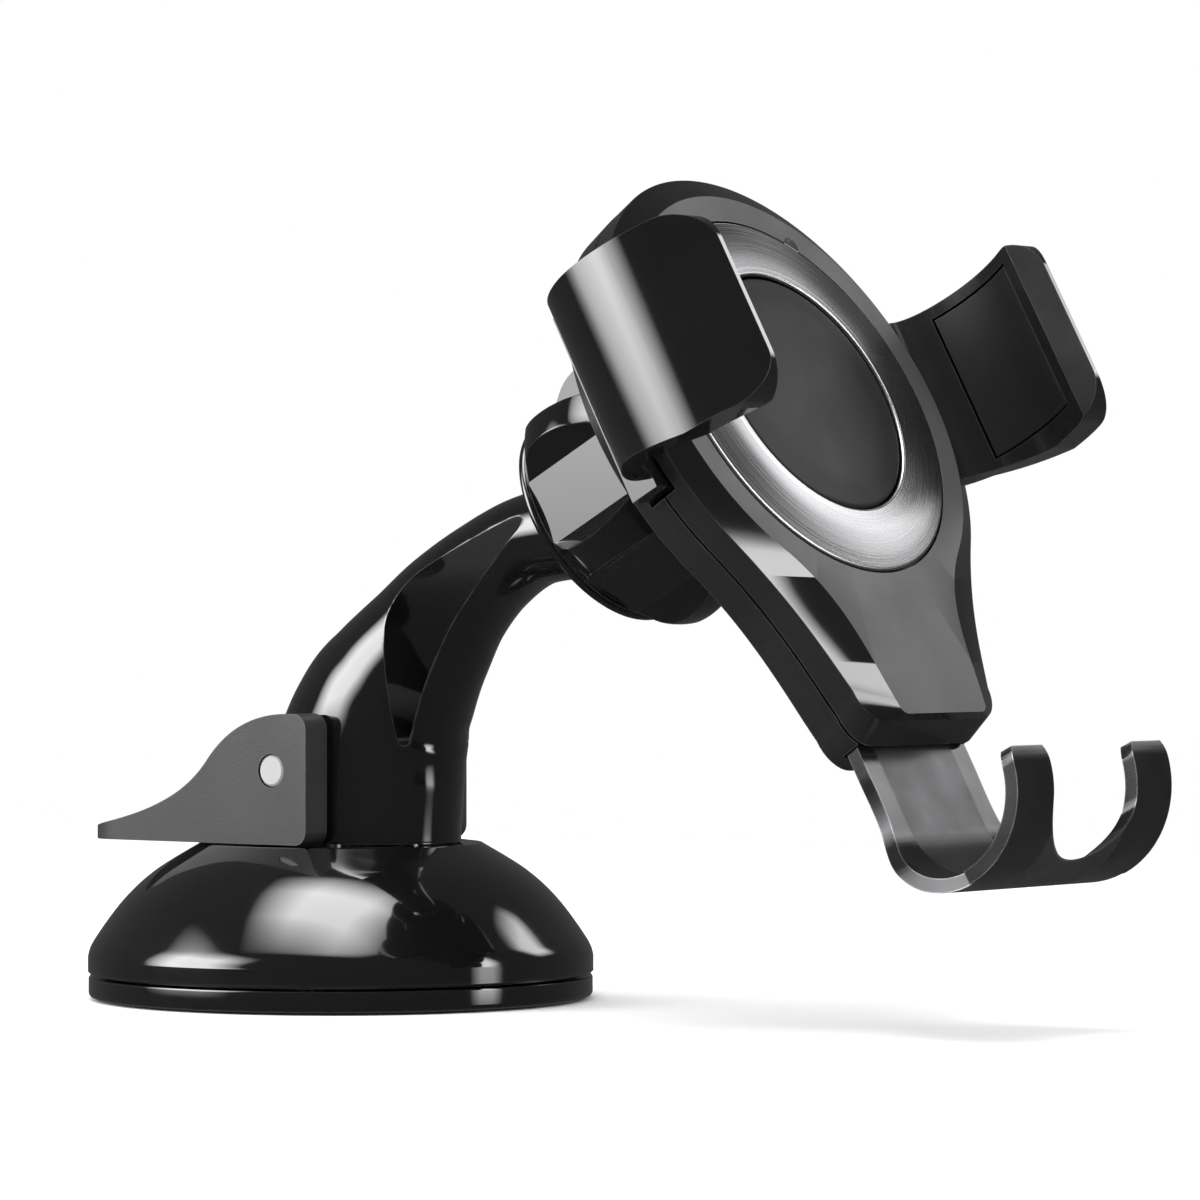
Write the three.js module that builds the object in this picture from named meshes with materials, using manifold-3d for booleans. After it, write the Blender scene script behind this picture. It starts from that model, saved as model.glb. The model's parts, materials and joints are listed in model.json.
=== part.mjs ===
// A suction phone mount: a domed suction base with a locking lever, a curved arm that ends in a
// ball, and a cradle head whose two side claws move with its bottom hook through a pair of
// pinions. Millimetres, +Z up. The origin is the middle of the suction face, the head faces -Y,
// the lever points to +Y, and the object is symmetric about the plane X = 0.
import * as THREE from 'three';
import { mergeVertices } from 'three/addons/utils/BufferGeometryUtils.js';
import Module from 'manifold-3d';

const wasm = await Module();
wasm.setup();

// ---------------------------------------------------------------- driving dimensions
const GAP = 0.3; // clearance between pieces that touch
const OVER = 1; // how far a cutter runs past the face it cuts

const BASE_R = 36; // suction base
const RING_TOP = 3.32;
const DOME_TOP = 22.16;
const DOME_FLAT_R = 20.1;
const DOME_WALL = 2.4;

const LEVER_OUT = 17.8; // half width of the lever over its two cheeks
const CHEEK = 4.6; // thickness of one cheek
const PIN_Y = -2.2; // lever pin axis
const PIN_Z = 32.8;
const PIN_R = 2.2;
const LEVER_BOTTOM = 22.42;
const LEVER_TIP = 34; // end of the lever's paddle
const WEB_Y = 15.4; // where the paddle starts behind the arm
const ROD_R = 2.8;

const TILT = THREE.MathUtils.degToRad(61.42); // head plane, turned about X from horizontal
const HEAD_ORIGIN = new THREE.Vector3(0, -81.17, 84.09); // middle of the ring's front plane
const BODY_R = 34.7; // outside of the head's side wall
const FACE_R = 31; // front face, inside the chamfer
const CHAMFER = 2; // depth of the chamfer
const PARTING = -6.2; // joint plane between the front and rear covers
const BACK = -11.1; // back face of the rear cover
const END_Y = -48; // lower end of the front cover
const RING_OUT = 26.8;
const RING_IN = 18;
const SEAT = -1.3; // floor of the recess that holds the ring and the pad

const AXIS_Y = 2; // ball and nut axis, above the ring's middle
const BALL_Z = -31; // ball centre behind the face
const BALL_R = 8.5;
const NECK_R = 4.5;
const COLLAR_R = 12.4;
const NUT_BACK = -38;
const NUT_FRONT = -21;
const COLLAR_END = -34.4; // rear rim of the rear cover's collar
const COLLAR_BORE = 11.2;
const ARM_END = BALL_Z - 10.6; // plane where the arm stops short of the ball

const PINION_X = 17.5; // pinion axes
const PINION_Y = -8;
const PITCH_R = 6;
const TEETH = 12;
const MODULE = 1;
const ADDENDUM = 0.7;
const DEDENDUM = 1.1;
const RACK_Y = PINION_Y + PITCH_R; // pitch line of the claws' racks
const RACK_X = PINION_X - PITCH_R; // pitch line of the hook's racks

const CLAW_TOP = 15.3;
const CLAW_BOTTOM = -12.2;
const CLAW_TIP = 21.2; // how far the claws' tips stand in front of the face
const CLAW_BACK = -7.2;
const ROOT_TAPER = 2.4; // how much higher a claw's lower edge is at its root
const RAIL_FRONT = -4.3;
const RAIL_BACK = -8.7;
const RAIL_SPLIT = -6.5; // back of the thin inner part of a rail

const HOOK_FRONT = -7;
const HOOK_BACK = -8.9;
const HOOK_HALF = 12.4;
const BEND_R = 13.2; // outside radius of the hook's bend
const BEND_Y = -61.2; // centre of the bend
const BEND_Z = HOOK_BACK + BEND_R;

// ---------------------------------------------------------------- helpers
const GLOSS = { color: 0x0b0b0c, roughness: 0.12, metalness: 0.1 };
const MATTE = { color: 0x3b3b3d, roughness: 0.55, metalness: 0 };
const RUBBER = { color: 0x101011, roughness: 0.8, metalness: 0 };
const METAL = { color: 0xb9babd, roughness: 0.25, metalness: 1 };
const STEEL = { color: 0x8d8f93, roughness: 0.35, metalness: 1 };
const NYLON = { color: 0xd8d6cf, roughness: 0.6, metalness: 0 };
const SATIN = { color: 0x4c4e51, roughness: 0.35, metalness: 0.6 };

function toSolid(geometry) {
  const plain = geometry.clone();
  plain.deleteAttribute('normal');
  plain.deleteAttribute('uv');
  const merged = mergeVertices(plain, 1e-4);
  return new wasm.Manifold(new wasm.Mesh({
    numProp: 3,
    vertProperties: new Float32Array(merged.attributes.position.array),
    triVerts: new Uint32Array(merged.index.array),
  }));
}

function toMesh(name, solid, finish, parent) {
  const data = solid.getMesh();
  const geometry = new THREE.BufferGeometry();
  geometry.setAttribute('position', new THREE.BufferAttribute(data.vertProperties, 3));
  geometry.setIndex(new THREE.BufferAttribute(data.triVerts, 1));
  geometry.computeVertexNormals();
  const mesh = new THREE.Mesh(geometry, new THREE.MeshStandardMaterial(finish));
  mesh.name = name;
  parent.add(mesh);
  return mesh;
}

function box(x0, x1, y0, y1, z0, z1) {
  const geometry = new THREE.BoxGeometry(x1 - x0, y1 - y0, z1 - z0);
  geometry.translate((x0 + x1) / 2, (y0 + y1) / 2, (z0 + z1) / 2);
  return toSolid(geometry);
}

// a cylinder or cone along Z
function rod(x, y, r, z0, z1, sides = 24, rTop = r) {
  const geometry = new THREE.CylinderGeometry(rTop, r, z1 - z0, sides);
  geometry.rotateX(Math.PI / 2);
  geometry.translate(x, y, (z0 + z1) / 2);
  return toSolid(geometry);
}

// a cylinder along X
function crossRod(y, z, r, x0, x1, sides = 24) {
  const geometry = new THREE.CylinderGeometry(r, r, x1 - x0, sides);
  geometry.rotateZ(Math.PI / 2);
  geometry.translate((x0 + x1) / 2, y, z);
  return toSolid(geometry);
}

// a shape in the XY plane, extruded along Z from z0 to z1
function prism(shape, z0, z1, curveSegments = 8) {
  const options = { depth: z1 - z0, bevelEnabled: false, curveSegments };
  const geometry = new THREE.ExtrudeGeometry(shape, options);
  geometry.translate(0, 0, z0);
  return toSolid(geometry);
}

// a shape whose x runs along Y and whose y runs along Z, extruded along X from x0 to x1
function crossPrism(shape, x0, x1, curveSegments = 8) {
  const options = { depth: x1 - x0, bevelEnabled: false, curveSegments };
  const geometry = new THREE.ExtrudeGeometry(shape, options);
  geometry.applyMatrix4(new THREE.Matrix4().set(0, 0, 1, x0, 1, 0, 0, 0, 0, 1, 0, 0, 0, 0, 0, 1));
  return toSolid(geometry);
}

// a profile of [radius, z] points turned about Z
function turned(points, sides = 48) {
  const geometry = new THREE.LatheGeometry(points.map(([r, z]) => new THREE.Vector2(r, z)), sides);
  geometry.rotateX(Math.PI / 2);
  return toSolid(geometry);
}

function union(solids) {
  return solids.reduce((sum, solid) => sum.add(solid));
}

function polygon(points) {
  return new THREE.Shape(points.map(([x, y]) => new THREE.Vector2(x, y)));
}

// a closed skin through rings of equal length, capped at both ends
function skin(rings) {
  const count = rings[0].length;
  const positions = rings.flat().flatMap((p) => [p.x, p.y, p.z]);
  const index = [];
  for (let i = 0; i + 1 < rings.length; i++) {
    for (let j = 0; j < count; j++) {
      const k = (j + 1) % count;
      const a = i * count;
      const b = a + count;
      index.push(a + j, a + k, b + k, a + j, b + k, b + j);
    }
  }
  const last = (rings.length - 1) * count;
  for (let j = 1; j + 1 < count; j++) {
    index.push(0, j + 1, j);
    index.push(last, last + j, last + j + 1);
  }
  const geometry = new THREE.BufferGeometry();
  geometry.setAttribute('position', new THREE.Float32BufferAttribute(positions, 3));
  geometry.setIndex(index);
  return toSolid(geometry);
}

const object = new THREE.Group();
const head = new THREE.Group();
head.position.copy(HEAD_ORIGIN);
head.rotation.x = TILT;
object.add(head);

// ---------------------------------------------------------------- suction base
const SCREW_CIRCLE = 26;
const SCREW_HOLE_R = 1.4;
const SHANK_R = 1.1;
const DOME_SCREWS = [90, 210, 330].map((degrees) => {
  const angle = THREE.MathUtils.degToRad(degrees);
  return [SCREW_CIRCLE * Math.cos(angle), SCREW_CIRCLE * Math.sin(angle)];
});
const ARM_SCREWS = [[-8.5, -6], [8.5, -6]];
const POCKET_DEPTH = 1.06; // pockets in the dome's top under the lever's cheeks

function domeProfile(steps) {
  const curve = new THREE.SplineCurve([
    new THREE.Vector2(BASE_R, 6.2),
    new THREE.Vector2(35.1, 8.4),
    new THREE.Vector2(31.1, 13.9),
    new THREE.Vector2(26.5, 18.2),
    new THREE.Vector2(DOME_FLAT_R, DOME_TOP),
  ]);
  return curve.getPoints(steps).map((p) => [p.x, p.y]);
}

function baseDome() {
  const outer = domeProfile(10);
  const scale = (BASE_R - DOME_WALL) / BASE_R;
  const inner = domeProfile(4).map(([r, z]) => [r * scale, z - DOME_WALL]);
  const bottom = RING_TOP + GAP;
  let dome = turned([[0, bottom], [BASE_R, bottom], ...outer, [0, DOME_TOP]], 56);
  dome = dome.subtract(turned([[0, 0], [BASE_R - DOME_WALL, 0], ...inner, [0, DOME_TOP - DOME_WALL]], 32));
  for (const [x, y] of DOME_SCREWS) {
    dome = dome.add(rod(x, y, 3, 5.4, 17, 16));
    dome = dome.subtract(rod(x, y, SCREW_HOLE_R, 5.4 - OVER, 13, 16));
  }
  for (const [x, y] of ARM_SCREWS) {
    dome = dome.subtract(rod(x, y, SCREW_HOLE_R, 18, DOME_TOP + OVER, 16));
  }
  dome = dome.subtract(rod(0, 0, ROD_R + GAP + 0.2, 18, DOME_TOP + OVER, 24));
  for (const side of [-1, 1]) { // shallow pockets under the lever's cheeks
    const near = side * (LEVER_OUT - CHEEK - GAP);
    const far = side * (LEVER_OUT + 0.4);
    const [x0, x1] = side < 0 ? [far, near] : [near, far];
    dome = dome.subtract(box(x0, x1, PIN_Y - 7.2, PIN_Y + 5, DOME_TOP - POCKET_DEPTH, DOME_TOP + OVER));
  }
  return dome;
}

function suctionCup() {
  const rim = [[30.2, 0], [31, 0.6], [31, 2], [30.2, 2.4]];
  const hub = [[9, 2.4], [7.6, 3.2], [7.2, 4.9], [0, 4.9]];
  return turned([[0, 0], ...rim, ...hub], 48);
}

function baseRing() {
  const corners = [[31.3, 0.35], [35.4, 0.35], [35.9, 0.8], [35.9, RING_TOP], [31.3, RING_TOP]];
  return turned([...corners, corners[0]], 64);
}

function basePlate() {
  let plate = turned([[9, 3.62], [32.4, 3.62], [32.4, 5.1], [9, 5.1], [9, 3.62]], 40);
  for (const [x, y] of DOME_SCREWS) {
    plate = plate.subtract(rod(x, y, SCREW_HOLE_R, 0, 8, 16));
  }
  return plate;
}

// a screw along Z whose head is at z and whose shank goes up
function screw(x, y, z, length, headR, headHeight, down = 1) {
  const ends = (a, b) => [Math.min(a, b), Math.max(a, b)];
  const [h0, h1] = ends(z, z + down * headHeight);
  const [s0, s1] = ends(z, z + down * length);
  let piece = rod(x, y, headR, h0, h1, 16).add(rod(x, y, SHANK_R, s0, s1, 12));
  const slot = ends(z - down * OVER, z + down * headHeight * 0.5);
  piece = piece.subtract(box(x - headR * 0.7, x + headR * 0.7, y - 0.3, y + 0.3, slot[0], slot[1]));
  return piece.subtract(box(x - 0.3, x + 0.3, y - headR * 0.7, y + headR * 0.7, slot[0], slot[1]));
}

function coil(radius, wire, z0, z1, turns) {
  class Helix extends THREE.Curve {
    getPoint(t, target = new THREE.Vector3()) {
      const angle = 2 * Math.PI * turns * t;
      return target.set(radius * Math.cos(angle), radius * Math.sin(angle), z0 + (z1 - z0) * t);
    }
  }
  const section = new THREE.Shape();
  section.absarc(0, 0, wire / 2, 0, 2 * Math.PI, false);
  const geometry = new THREE.ExtrudeGeometry(section, {
    extrudePath: new Helix(), steps: turns * 14, bevelEnabled: false, curveSegments: 3,
  });
  return toSolid(geometry);
}

// ---------------------------------------------------------------- arm
const ARM_HALF = LEVER_OUT - CHEEK - 0.6; // half width of the arm between the lever's cheeks
// stations along the arm: centre [y, z], half width across X, half thickness in the YZ plane
const ARM_STATIONS = [
  { y: -4.3, z: 18, a: ARM_HALF, b: 14.4 },
  { y: -4.5, z: 25, a: ARM_HALF, b: 14.4 },
  { y: -5.6, z: 34, a: ARM_HALF, b: 14.2 },
  { y: -8.3, z: 41, a: 12.2, b: 12.9 },
  { y: -11.7, z: 45.9, a: 11.2, b: 11.3 },
  { y: -15.9, z: 50.9, a: 9.8, b: 9.7 },
  { y: -20.9, z: 56.3, a: 8.8, b: 8.2 },
  { y: -27.4, z: 61.2, a: 8.1, b: 7 },
  { y: -35.2, z: 65, a: 7.6, b: 6.5 },
  { y: -44.6, z: 66.4, a: 7.4, b: 6.6 },
];
const ARM_STEPS = 24;
const ARM_SIDES = 32;

function armSweep() {
  const centre = new THREE.CatmullRomCurve3(ARM_STATIONS.map((s) => new THREE.Vector3(0, s.y, s.z)));
  const sizes = new THREE.SplineCurve(ARM_STATIONS.map((s) => new THREE.Vector2(s.a, s.b)));
  const rings = [];
  for (let i = 0; i <= ARM_STEPS; i++) {
    const t = i / ARM_STEPS;
    const p = centre.getPoint(t);
    const along = centre.getTangent(t);
    const up = new THREE.Vector3(0, along.z, -along.y);
    const size = sizes.getPoint(t);
    const ring = [];
    for (let j = 0; j < ARM_SIDES; j++) {
      const angle = 2 * Math.PI * j / ARM_SIDES;
      const point = p.clone();
      point.x += size.x * Math.cos(angle);
      point.addScaledVector(up, size.y * Math.sin(angle));
      ring.push(point);
    }
    rings.push(ring);
  }
  return skin(rings);
}

// the teardrop window through the arm, in the YZ plane
function armWindow() {
  const outline = new THREE.SplineCurve([
    new THREE.Vector2(-17.4, 36.3),
    new THREE.Vector2(-16.9, 38),
    new THREE.Vector2(-16.7, 43.9),
    new THREE.Vector2(-16.1, 50.9),
    new THREE.Vector2(-16.1, 54.6),
    new THREE.Vector2(-17.8, 58),
    new THREE.Vector2(-20.4, 60.4),
    new THREE.Vector2(-25.4, 63),
    new THREE.Vector2(-31, 65.6),
    new THREE.Vector2(-37.4, 68.2),
    new THREE.Vector2(-38.4, 66.8),
    new THREE.Vector2(-35, 63.4),
    new THREE.Vector2(-30.1, 58.6),
    new THREE.Vector2(-25.7, 53.6),
    new THREE.Vector2(-22.8, 48.9),
    new THREE.Vector2(-20.2, 43.6),
    new THREE.Vector2(-18.2, 38),
    new THREE.Vector2(-17.9, 36.6),
    new THREE.Vector2(-17.4, 36.3),
  ]);
  return crossPrism(new THREE.Shape(outline.getPoints(54)), -20, 20);
}

function arm() {
  let piece = armSweep();
  const foot = DOME_TOP + GAP;
  piece = piece.subtract(box(-20, 20, -30, 20, 0, foot));
  piece = piece.subtract(armWindow());
  // the well for the pull rod's yoke
  piece = piece.subtract(box(-3.4, 3.4, PIN_Y - 8.6, PIN_Y + 5.8, 0, 41.4));
  piece = piece.subtract(crossRod(PIN_Y, PIN_Z, PIN_R + GAP, -20, 20));
  for (const [x, y] of ARM_SCREWS) {
    piece = piece.subtract(rod(x, y, SCREW_HOLE_R, 0, 29.5, 16));
  }
  const socket = rod(0, AXIS_Y, NECK_R + GAP, BALL_Z - 15, BALL_Z, 24);
  return piece.subtract(placeInHead(socket)).subtract(placeInHead(armEndCut()));
}

// everything in front of the plane where the arm stops short of the ball
function armEndCut() {
  return box(-30, 30, AXIS_Y - 30, AXIS_Y + 30, ARM_END, 0);
}

function placeInHead(solid) {
  head.updateMatrixWorld(true);
  return solid.transform(head.matrixWorld.toArray());
}

function ballStud() {
  const ball = new THREE.SphereGeometry(BALL_R, 24, 16);
  ball.rotateX(Math.PI / 2);
  ball.translate(0, AXIS_Y, BALL_Z);
  return toSolid(ball).add(rod(0, AXIS_Y, NECK_R, BALL_Z - 14.5, BALL_Z, 24));
}

// ---------------------------------------------------------------- lever, pin, cam and pull rod
function leverProfile() {
  const shape = new THREE.Shape();
  const front = PIN_Y - 6.4;
  const top = 40.8;
  shape.moveTo(front, LEVER_BOTTOM + 2);
  shape.lineTo(front, top - 2.2);
  shape.absarc(front + 2.2, top - 2.2, 2.2, Math.PI, Math.PI / 2, true);
  shape.bezierCurveTo(0.9, top + 0.2, 6.1, 38.6, 9.9, 34);
  shape.bezierCurveTo(13.9, 29.2, 20.9, 26.2, LEVER_TIP - 0.3, 24.1);
  shape.lineTo(LEVER_TIP, LEVER_BOTTOM + 0.5);
  shape.lineTo(LEVER_TIP - 0.5, LEVER_BOTTOM);
  shape.lineTo(front + 2, LEVER_BOTTOM);
  shape.absarc(front + 2, LEVER_BOTTOM + 2, 2, 1.5 * Math.PI, Math.PI, true);
  return shape;
}

// plan view of the lever: a rounded rectangle with rounded paddle corners
function leverPlan() {
  const shape = new THREE.Shape();
  const corner = 6;
  const tip = LEVER_TIP + 0.1;
  shape.moveTo(-LEVER_OUT, -12);
  shape.lineTo(LEVER_OUT, -12);
  shape.lineTo(LEVER_OUT, tip - corner);
  shape.absarc(LEVER_OUT - corner, tip - corner, corner, 0, Math.PI / 2, false);
  shape.absarc(corner - LEVER_OUT, tip - corner, corner, Math.PI / 2, Math.PI, false);
  return shape;
}

function lever() {
  const inner = LEVER_OUT - CHEEK;
  let piece = crossPrism(leverProfile(), -LEVER_OUT, LEVER_OUT, 10).intersect(prism(leverPlan(), 20, 45, 6));
  piece = piece.subtract(box(-inner, inner, -15, WEB_Y, 20, 45));
  return piece.subtract(crossRod(PIN_Y, PIN_Z, PIN_R + GAP, -20, 20));
}

const CAM_REACH = 4.2;
const CAM_TIP_R = 1.6;
const CAM_HUB_R = 3;
const CAM_REST = THREE.MathUtils.degToRad(110); // direction of the lobe from +Y towards +Z

function cam() {
  const tip = [PIN_Y + CAM_REACH * Math.cos(CAM_REST), PIN_Z + CAM_REACH * Math.sin(CAM_REST)];
  const hub = crossRod(PIN_Y, PIN_Z, CAM_HUB_R, -2, 2, 24);
  const lobe = crossRod(tip[0], tip[1], CAM_TIP_R, -2, 2, 16);
  const across = [Math.sin(CAM_REST), -Math.cos(CAM_REST)];
  const flank = polygon([
    [PIN_Y - 2.6 * across[0], PIN_Z - 2.6 * across[1]],
    [PIN_Y + 2.6 * across[0], PIN_Z + 2.6 * across[1]],
    [tip[0] + CAM_TIP_R * across[0], tip[1] + CAM_TIP_R * across[1]],
    [tip[0] - CAM_TIP_R * across[0], tip[1] - CAM_TIP_R * across[1]],
  ]);
  return union([hub, lobe, crossPrism(flank, -2, 2)]).subtract(crossRod(PIN_Y, PIN_Z, PIN_R + GAP, -3, 3));
}

function pullRod() {
  const windowTop = PIN_Z + CAM_REACH * Math.sin(CAM_REST) + CAM_TIP_R + GAP;
  const windowBottom = PIN_Z - CAM_HUB_R - GAP;
  const yoke = box(-3, 3, PIN_Y - 8.2, PIN_Y + 5.4, windowBottom - 2.4, windowTop + 2);
  const hole = box(-4, 4, PIN_Y - 6.2, PIN_Y + 3.4, windowBottom, windowTop);
  const shaft = rod(0, 0, ROD_R, 6, windowBottom - 1, 20);
  const disc = rod(0, 0, 7, 5.2, 7.2, 32);
  return union([yoke.subtract(hole), shaft, disc]);
}

// ---------------------------------------------------------------- head covers
// the head's outline: a circle that runs down into a waisted tail, points listed counterclockwise
function headOutline(radius, leaveY, tailHalf, endY, bend, corner) {
  const leave = new THREE.Vector2(Math.sqrt(radius * radius - leaveY * leaveY), leaveY);
  const tangent = new THREE.Vector2(leave.y, -leave.x).normalize();
  const tail = new THREE.CubicBezierCurve(
    leave,
    leave.clone().addScaledVector(tangent, bend),
    new THREE.Vector2(tailHalf + bend * 0.16, endY + 0.75 * bend),
    new THREE.Vector2(tailHalf, endY + corner),
  );
  const start = Math.atan2(leave.y, leave.x);
  const points = [];
  const arcSteps = 36;
  const tailSteps = 10;
  for (let i = 0; i <= arcSteps; i++) {
    const angle = start + (Math.PI - 2 * start) * i / arcSteps;
    points.push(new THREE.Vector2(radius * Math.cos(angle), radius * Math.sin(angle)));
  }
  const side = tail.getPoints(tailSteps).slice(1);
  const cornerSteps = 4;
  for (let i = 1; i <= cornerSteps; i++) {
    const angle = (Math.PI / 2) * i / cornerSteps;
    const across = tailHalf - corner * (1 - Math.cos(angle));
    side.push(new THREE.Vector2(across, endY + corner * (1 - Math.sin(angle))));
  }
  side.forEach((p) => points.push(new THREE.Vector2(-p.x, p.y)));
  side.reverse().forEach((p) => points.push(p));
  return points;
}

const at = (points, z) => points.map((p) => new THREE.Vector3(p.x, p.y, z));
const faceOutline = () => headOutline(FACE_R, -23.4, 10, END_Y, 12, 1.5);
const bodyOutline = (inset, endY = END_Y) => headOutline(BODY_R - inset, -21, 15.7 - inset, endY, 13, 4.5);

// windows in the side walls for the claws' rails
function railSlots(z0, z1) {
  const slot = (x0, x1) => box(x0, x1, CLAW_BOTTOM - 0.5, CLAW_TOP + 0.5, z0, z1);
  return slot(-40, -24).add(slot(24, 40));
}

const HOOK_SLOT = HOOK_HALF + 0.4; // half width of the slot the hook slides in
const COVER_SCREWS = [[-13, 24], [13, 24], [-22, -17.6], [22, -17.6]];

function frontCover() {
  const face = faceOutline();
  const edge = bodyOutline(0);
  const foot = bodyOutline(0.5, END_Y - 1.6);
  let piece = skin([at(foot, PARTING + GAP / 2), at(edge, -CHAMFER), at(face, 0)]);
  piece = piece.subtract(skin([at(bodyOutline(2.2), PARTING - OVER), at(bodyOutline(2.2), -2.7)]));
  piece = piece.subtract(rod(0, 0, RING_OUT + GAP, SEAT, OVER, 64));
  piece = piece.subtract(box(-HOOK_SLOT, HOOK_SLOT, END_Y - 5, -40, PARTING - OVER, HOOK_FRONT + 0.9));
  for (const [x, y] of COVER_SCREWS) {
    piece = piece.add(rod(x, y, 2.6, PARTING + 0.4, -2, 16));
    piece = piece.subtract(rod(x, y, SCREW_HOLE_R, PARTING - OVER, -3, 16));
  }
  return piece.subtract(railSlots(PARTING - OVER, RAIL_FRONT + GAP));
}

function rearCover() {
  const top = bodyOutline(0.5, END_Y - 1.6);
  const back = bodyOutline(1.3, END_Y - 2.6);
  let piece = skin([at(back, BACK), at(top, PARTING - GAP / 2)]);
  piece = piece.subtract(skin([at(bodyOutline(2.6), BACK + 1.8), at(bodyOutline(2.6), 0)]));
  piece = piece.subtract(box(-HOOK_SLOT, HOOK_SLOT, END_Y - 8, -40, HOOK_BACK - GAP, 0));
  piece = piece.subtract(railSlots(RAIL_BACK - GAP, 0));
  piece = piece.add(rod(0, AXIS_Y, COLLAR_R + 2.4, NUT_FRONT + 1, BACK + 0.5, 40));
  piece = piece.add(rod(0, AXIS_Y, COLLAR_R, COLLAR_END, BACK + 0.5, 40));
  piece = piece.subtract(rod(0, AXIS_Y, COLLAR_BORE, COLLAR_END - OVER, BACK - 2, 40));
  for (const [x, y] of COVER_SCREWS) {
    piece = piece.add(rod(x, y, 2.6, BACK + 1, PARTING - 0.2, 16));
    piece = piece.subtract(rod(x, y, SCREW_HOLE_R, BACK - OVER, 0, 16));
    piece = piece.subtract(rod(x, y, 2.3, BACK - OVER, BACK + 1.3, 16));
  }
  for (const side of [-1, 1]) { // stepped seats for the pinion pins
    piece = piece.subtract(rod(side * PINION_X, PINION_Y, 1.3, BACK + 0.8, 0, 16));
  }
  return piece;
}

function metalRing() {
  const bottom = SEAT + GAP;
  return turned([[RING_IN, bottom], [RING_OUT, bottom], [RING_OUT, 0], [26.3, 0.3], [18.7, 1.2], [RING_IN, 1],
    [RING_IN, bottom]], 64);
}

function centerPad() {
  const r = RING_IN - GAP;
  const bottom = SEAT + GAP;
  return turned([[0, bottom], [r, bottom], [r, 0.7], [r - 0.6, 1.2], [r - 3, 1.6], [9, 1.9], [0, 1.9]], 48);
}

// ---------------------------------------------------------------- ball joint
const NUT_HOLE = 7.8; // hole in the nut's rear wall, wide enough for the tilted neck
const FLANGE_R = 15.9;
const GRIPS = 6;
const GRIP_FLOOR = 14.9; // distance of a grip's floor from the axis
const GRIP_HALF = 4.75; // half width of a grip's floor

// a shell between two spheres about the ball centre, from one polar angle to another
function sphereRing(r0, r1, from, to, steps = 4) {
  const a0 = THREE.MathUtils.degToRad(from);
  const a1 = THREE.MathUtils.degToRad(to);
  const arc = (r, k) => {
    const angle = a0 + (a1 - a0) * k / steps;
    return [r * Math.sin(angle), r * Math.cos(angle)];
  };
  const outer = Array.from({ length: steps + 1 }, (unused, k) => arc(r1, k));
  const inner = Array.from({ length: steps + 1 }, (unused, k) => arc(r0, steps - k));
  return turned([...outer, ...inner, outer[0]].reverse(), 24).translate([0, AXIS_Y, BALL_Z]);
}

function lockNut() {
  const bore = COLLAR_R + GAP;
  const floor = NUT_BACK + 1.8;
  const flange = [[FLANGE_R - 0.6, NUT_BACK], [FLANGE_R, NUT_BACK + 0.6], [FLANGE_R - 0.6, NUT_BACK + 1.3]];
  const profile = [[NUT_HOLE, NUT_BACK], ...flange];
  const bulge = new THREE.SplineCurve([
    new THREE.Vector2(FLANGE_R - 0.3, NUT_BACK + 1.6),
    new THREE.Vector2(18.9, -33.2),
    new THREE.Vector2(19.8, -29.4),
    new THREE.Vector2(19, -25.2),
    new THREE.Vector2(16.4, NUT_FRONT),
  ]);
  profile.push(...bulge.getPoints(8).map((p) => [p.x, p.y]));
  profile.push([bore, NUT_FRONT], [bore, floor], [NUT_HOLE, floor], [NUT_HOLE, NUT_BACK]);
  let nut = turned(profile, 48).translate([0, AXIS_Y, 0]);
  const half = GRIP_HALF;
  const rise = 8;
  const grip = prism(polygon([[-half, GRIP_FLOOR], [half, GRIP_FLOOR], [half + rise, GRIP_FLOOR + rise],
    [-half - rise, GRIP_FLOOR + rise]]), NUT_BACK + 1.5, NUT_FRONT + OVER);
  for (let i = 0; i < GRIPS; i++) { // flat finger grips let into the bulge
    nut = nut.subtract(grip.rotate([0, 0, 360 * (i + 0.5) / GRIPS]).translate([0, AXIS_Y, 0]));
  }
  return nut;
}

// ---------------------------------------------------------------- claws, hook and pinions
const TOOTH_TIP = 0.45; // half widths of a rack tooth at its tip and root
const TOOTH_ROOT = 0.95;
const PITCH = Math.PI * MODULE;

// a rack tooth pointing to -Y at x, y on the pitch line
function rackTooth(x, y) {
  return polygon([[x - TOOTH_ROOT, y + DEDENDUM + 0.2], [x - TOOTH_TIP, y - ADDENDUM],
    [x + TOOTH_TIP, y - ADDENDUM], [x + TOOTH_ROOT, y + DEDENDUM + 0.2]]);
}

function pinion() {
  const points = [];
  const half = [0.72 * TOOTH_ROOT, 0.8 * TOOTH_TIP];
  for (let i = 0; i < TEETH; i++) { // a gap is centred on each rack's contact point
    const angle = 2 * Math.PI * (i + 0.5) / TEETH;
    const corners = [[PITCH_R - DEDENDUM, -half[0]], [PITCH_R + ADDENDUM, -half[1]],
      [PITCH_R + ADDENDUM, half[1]], [PITCH_R - DEDENDUM, half[0]]];
    for (const [r, s] of corners) {
      points.push([r * Math.cos(angle) - s * Math.sin(angle), r * Math.sin(angle) + s * Math.cos(angle)]);
    }
  }
  const gear = prism(polygon(points), BACK + 2.1, RAIL_FRONT);
  return gear.subtract(rod(0, 0, 1.5, -20, 0, 16));
}

// the claw's inner face, from its tip down to the rail
function clawInnerCurve(shape) {
  shape.bezierCurveTo(39, 13.5, 40.6, 9, 40.5, 4.2);
  shape.bezierCurveTo(40.4, -0.5, 38.6, RAIL_FRONT, 35.4, RAIL_FRONT);
}

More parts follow.
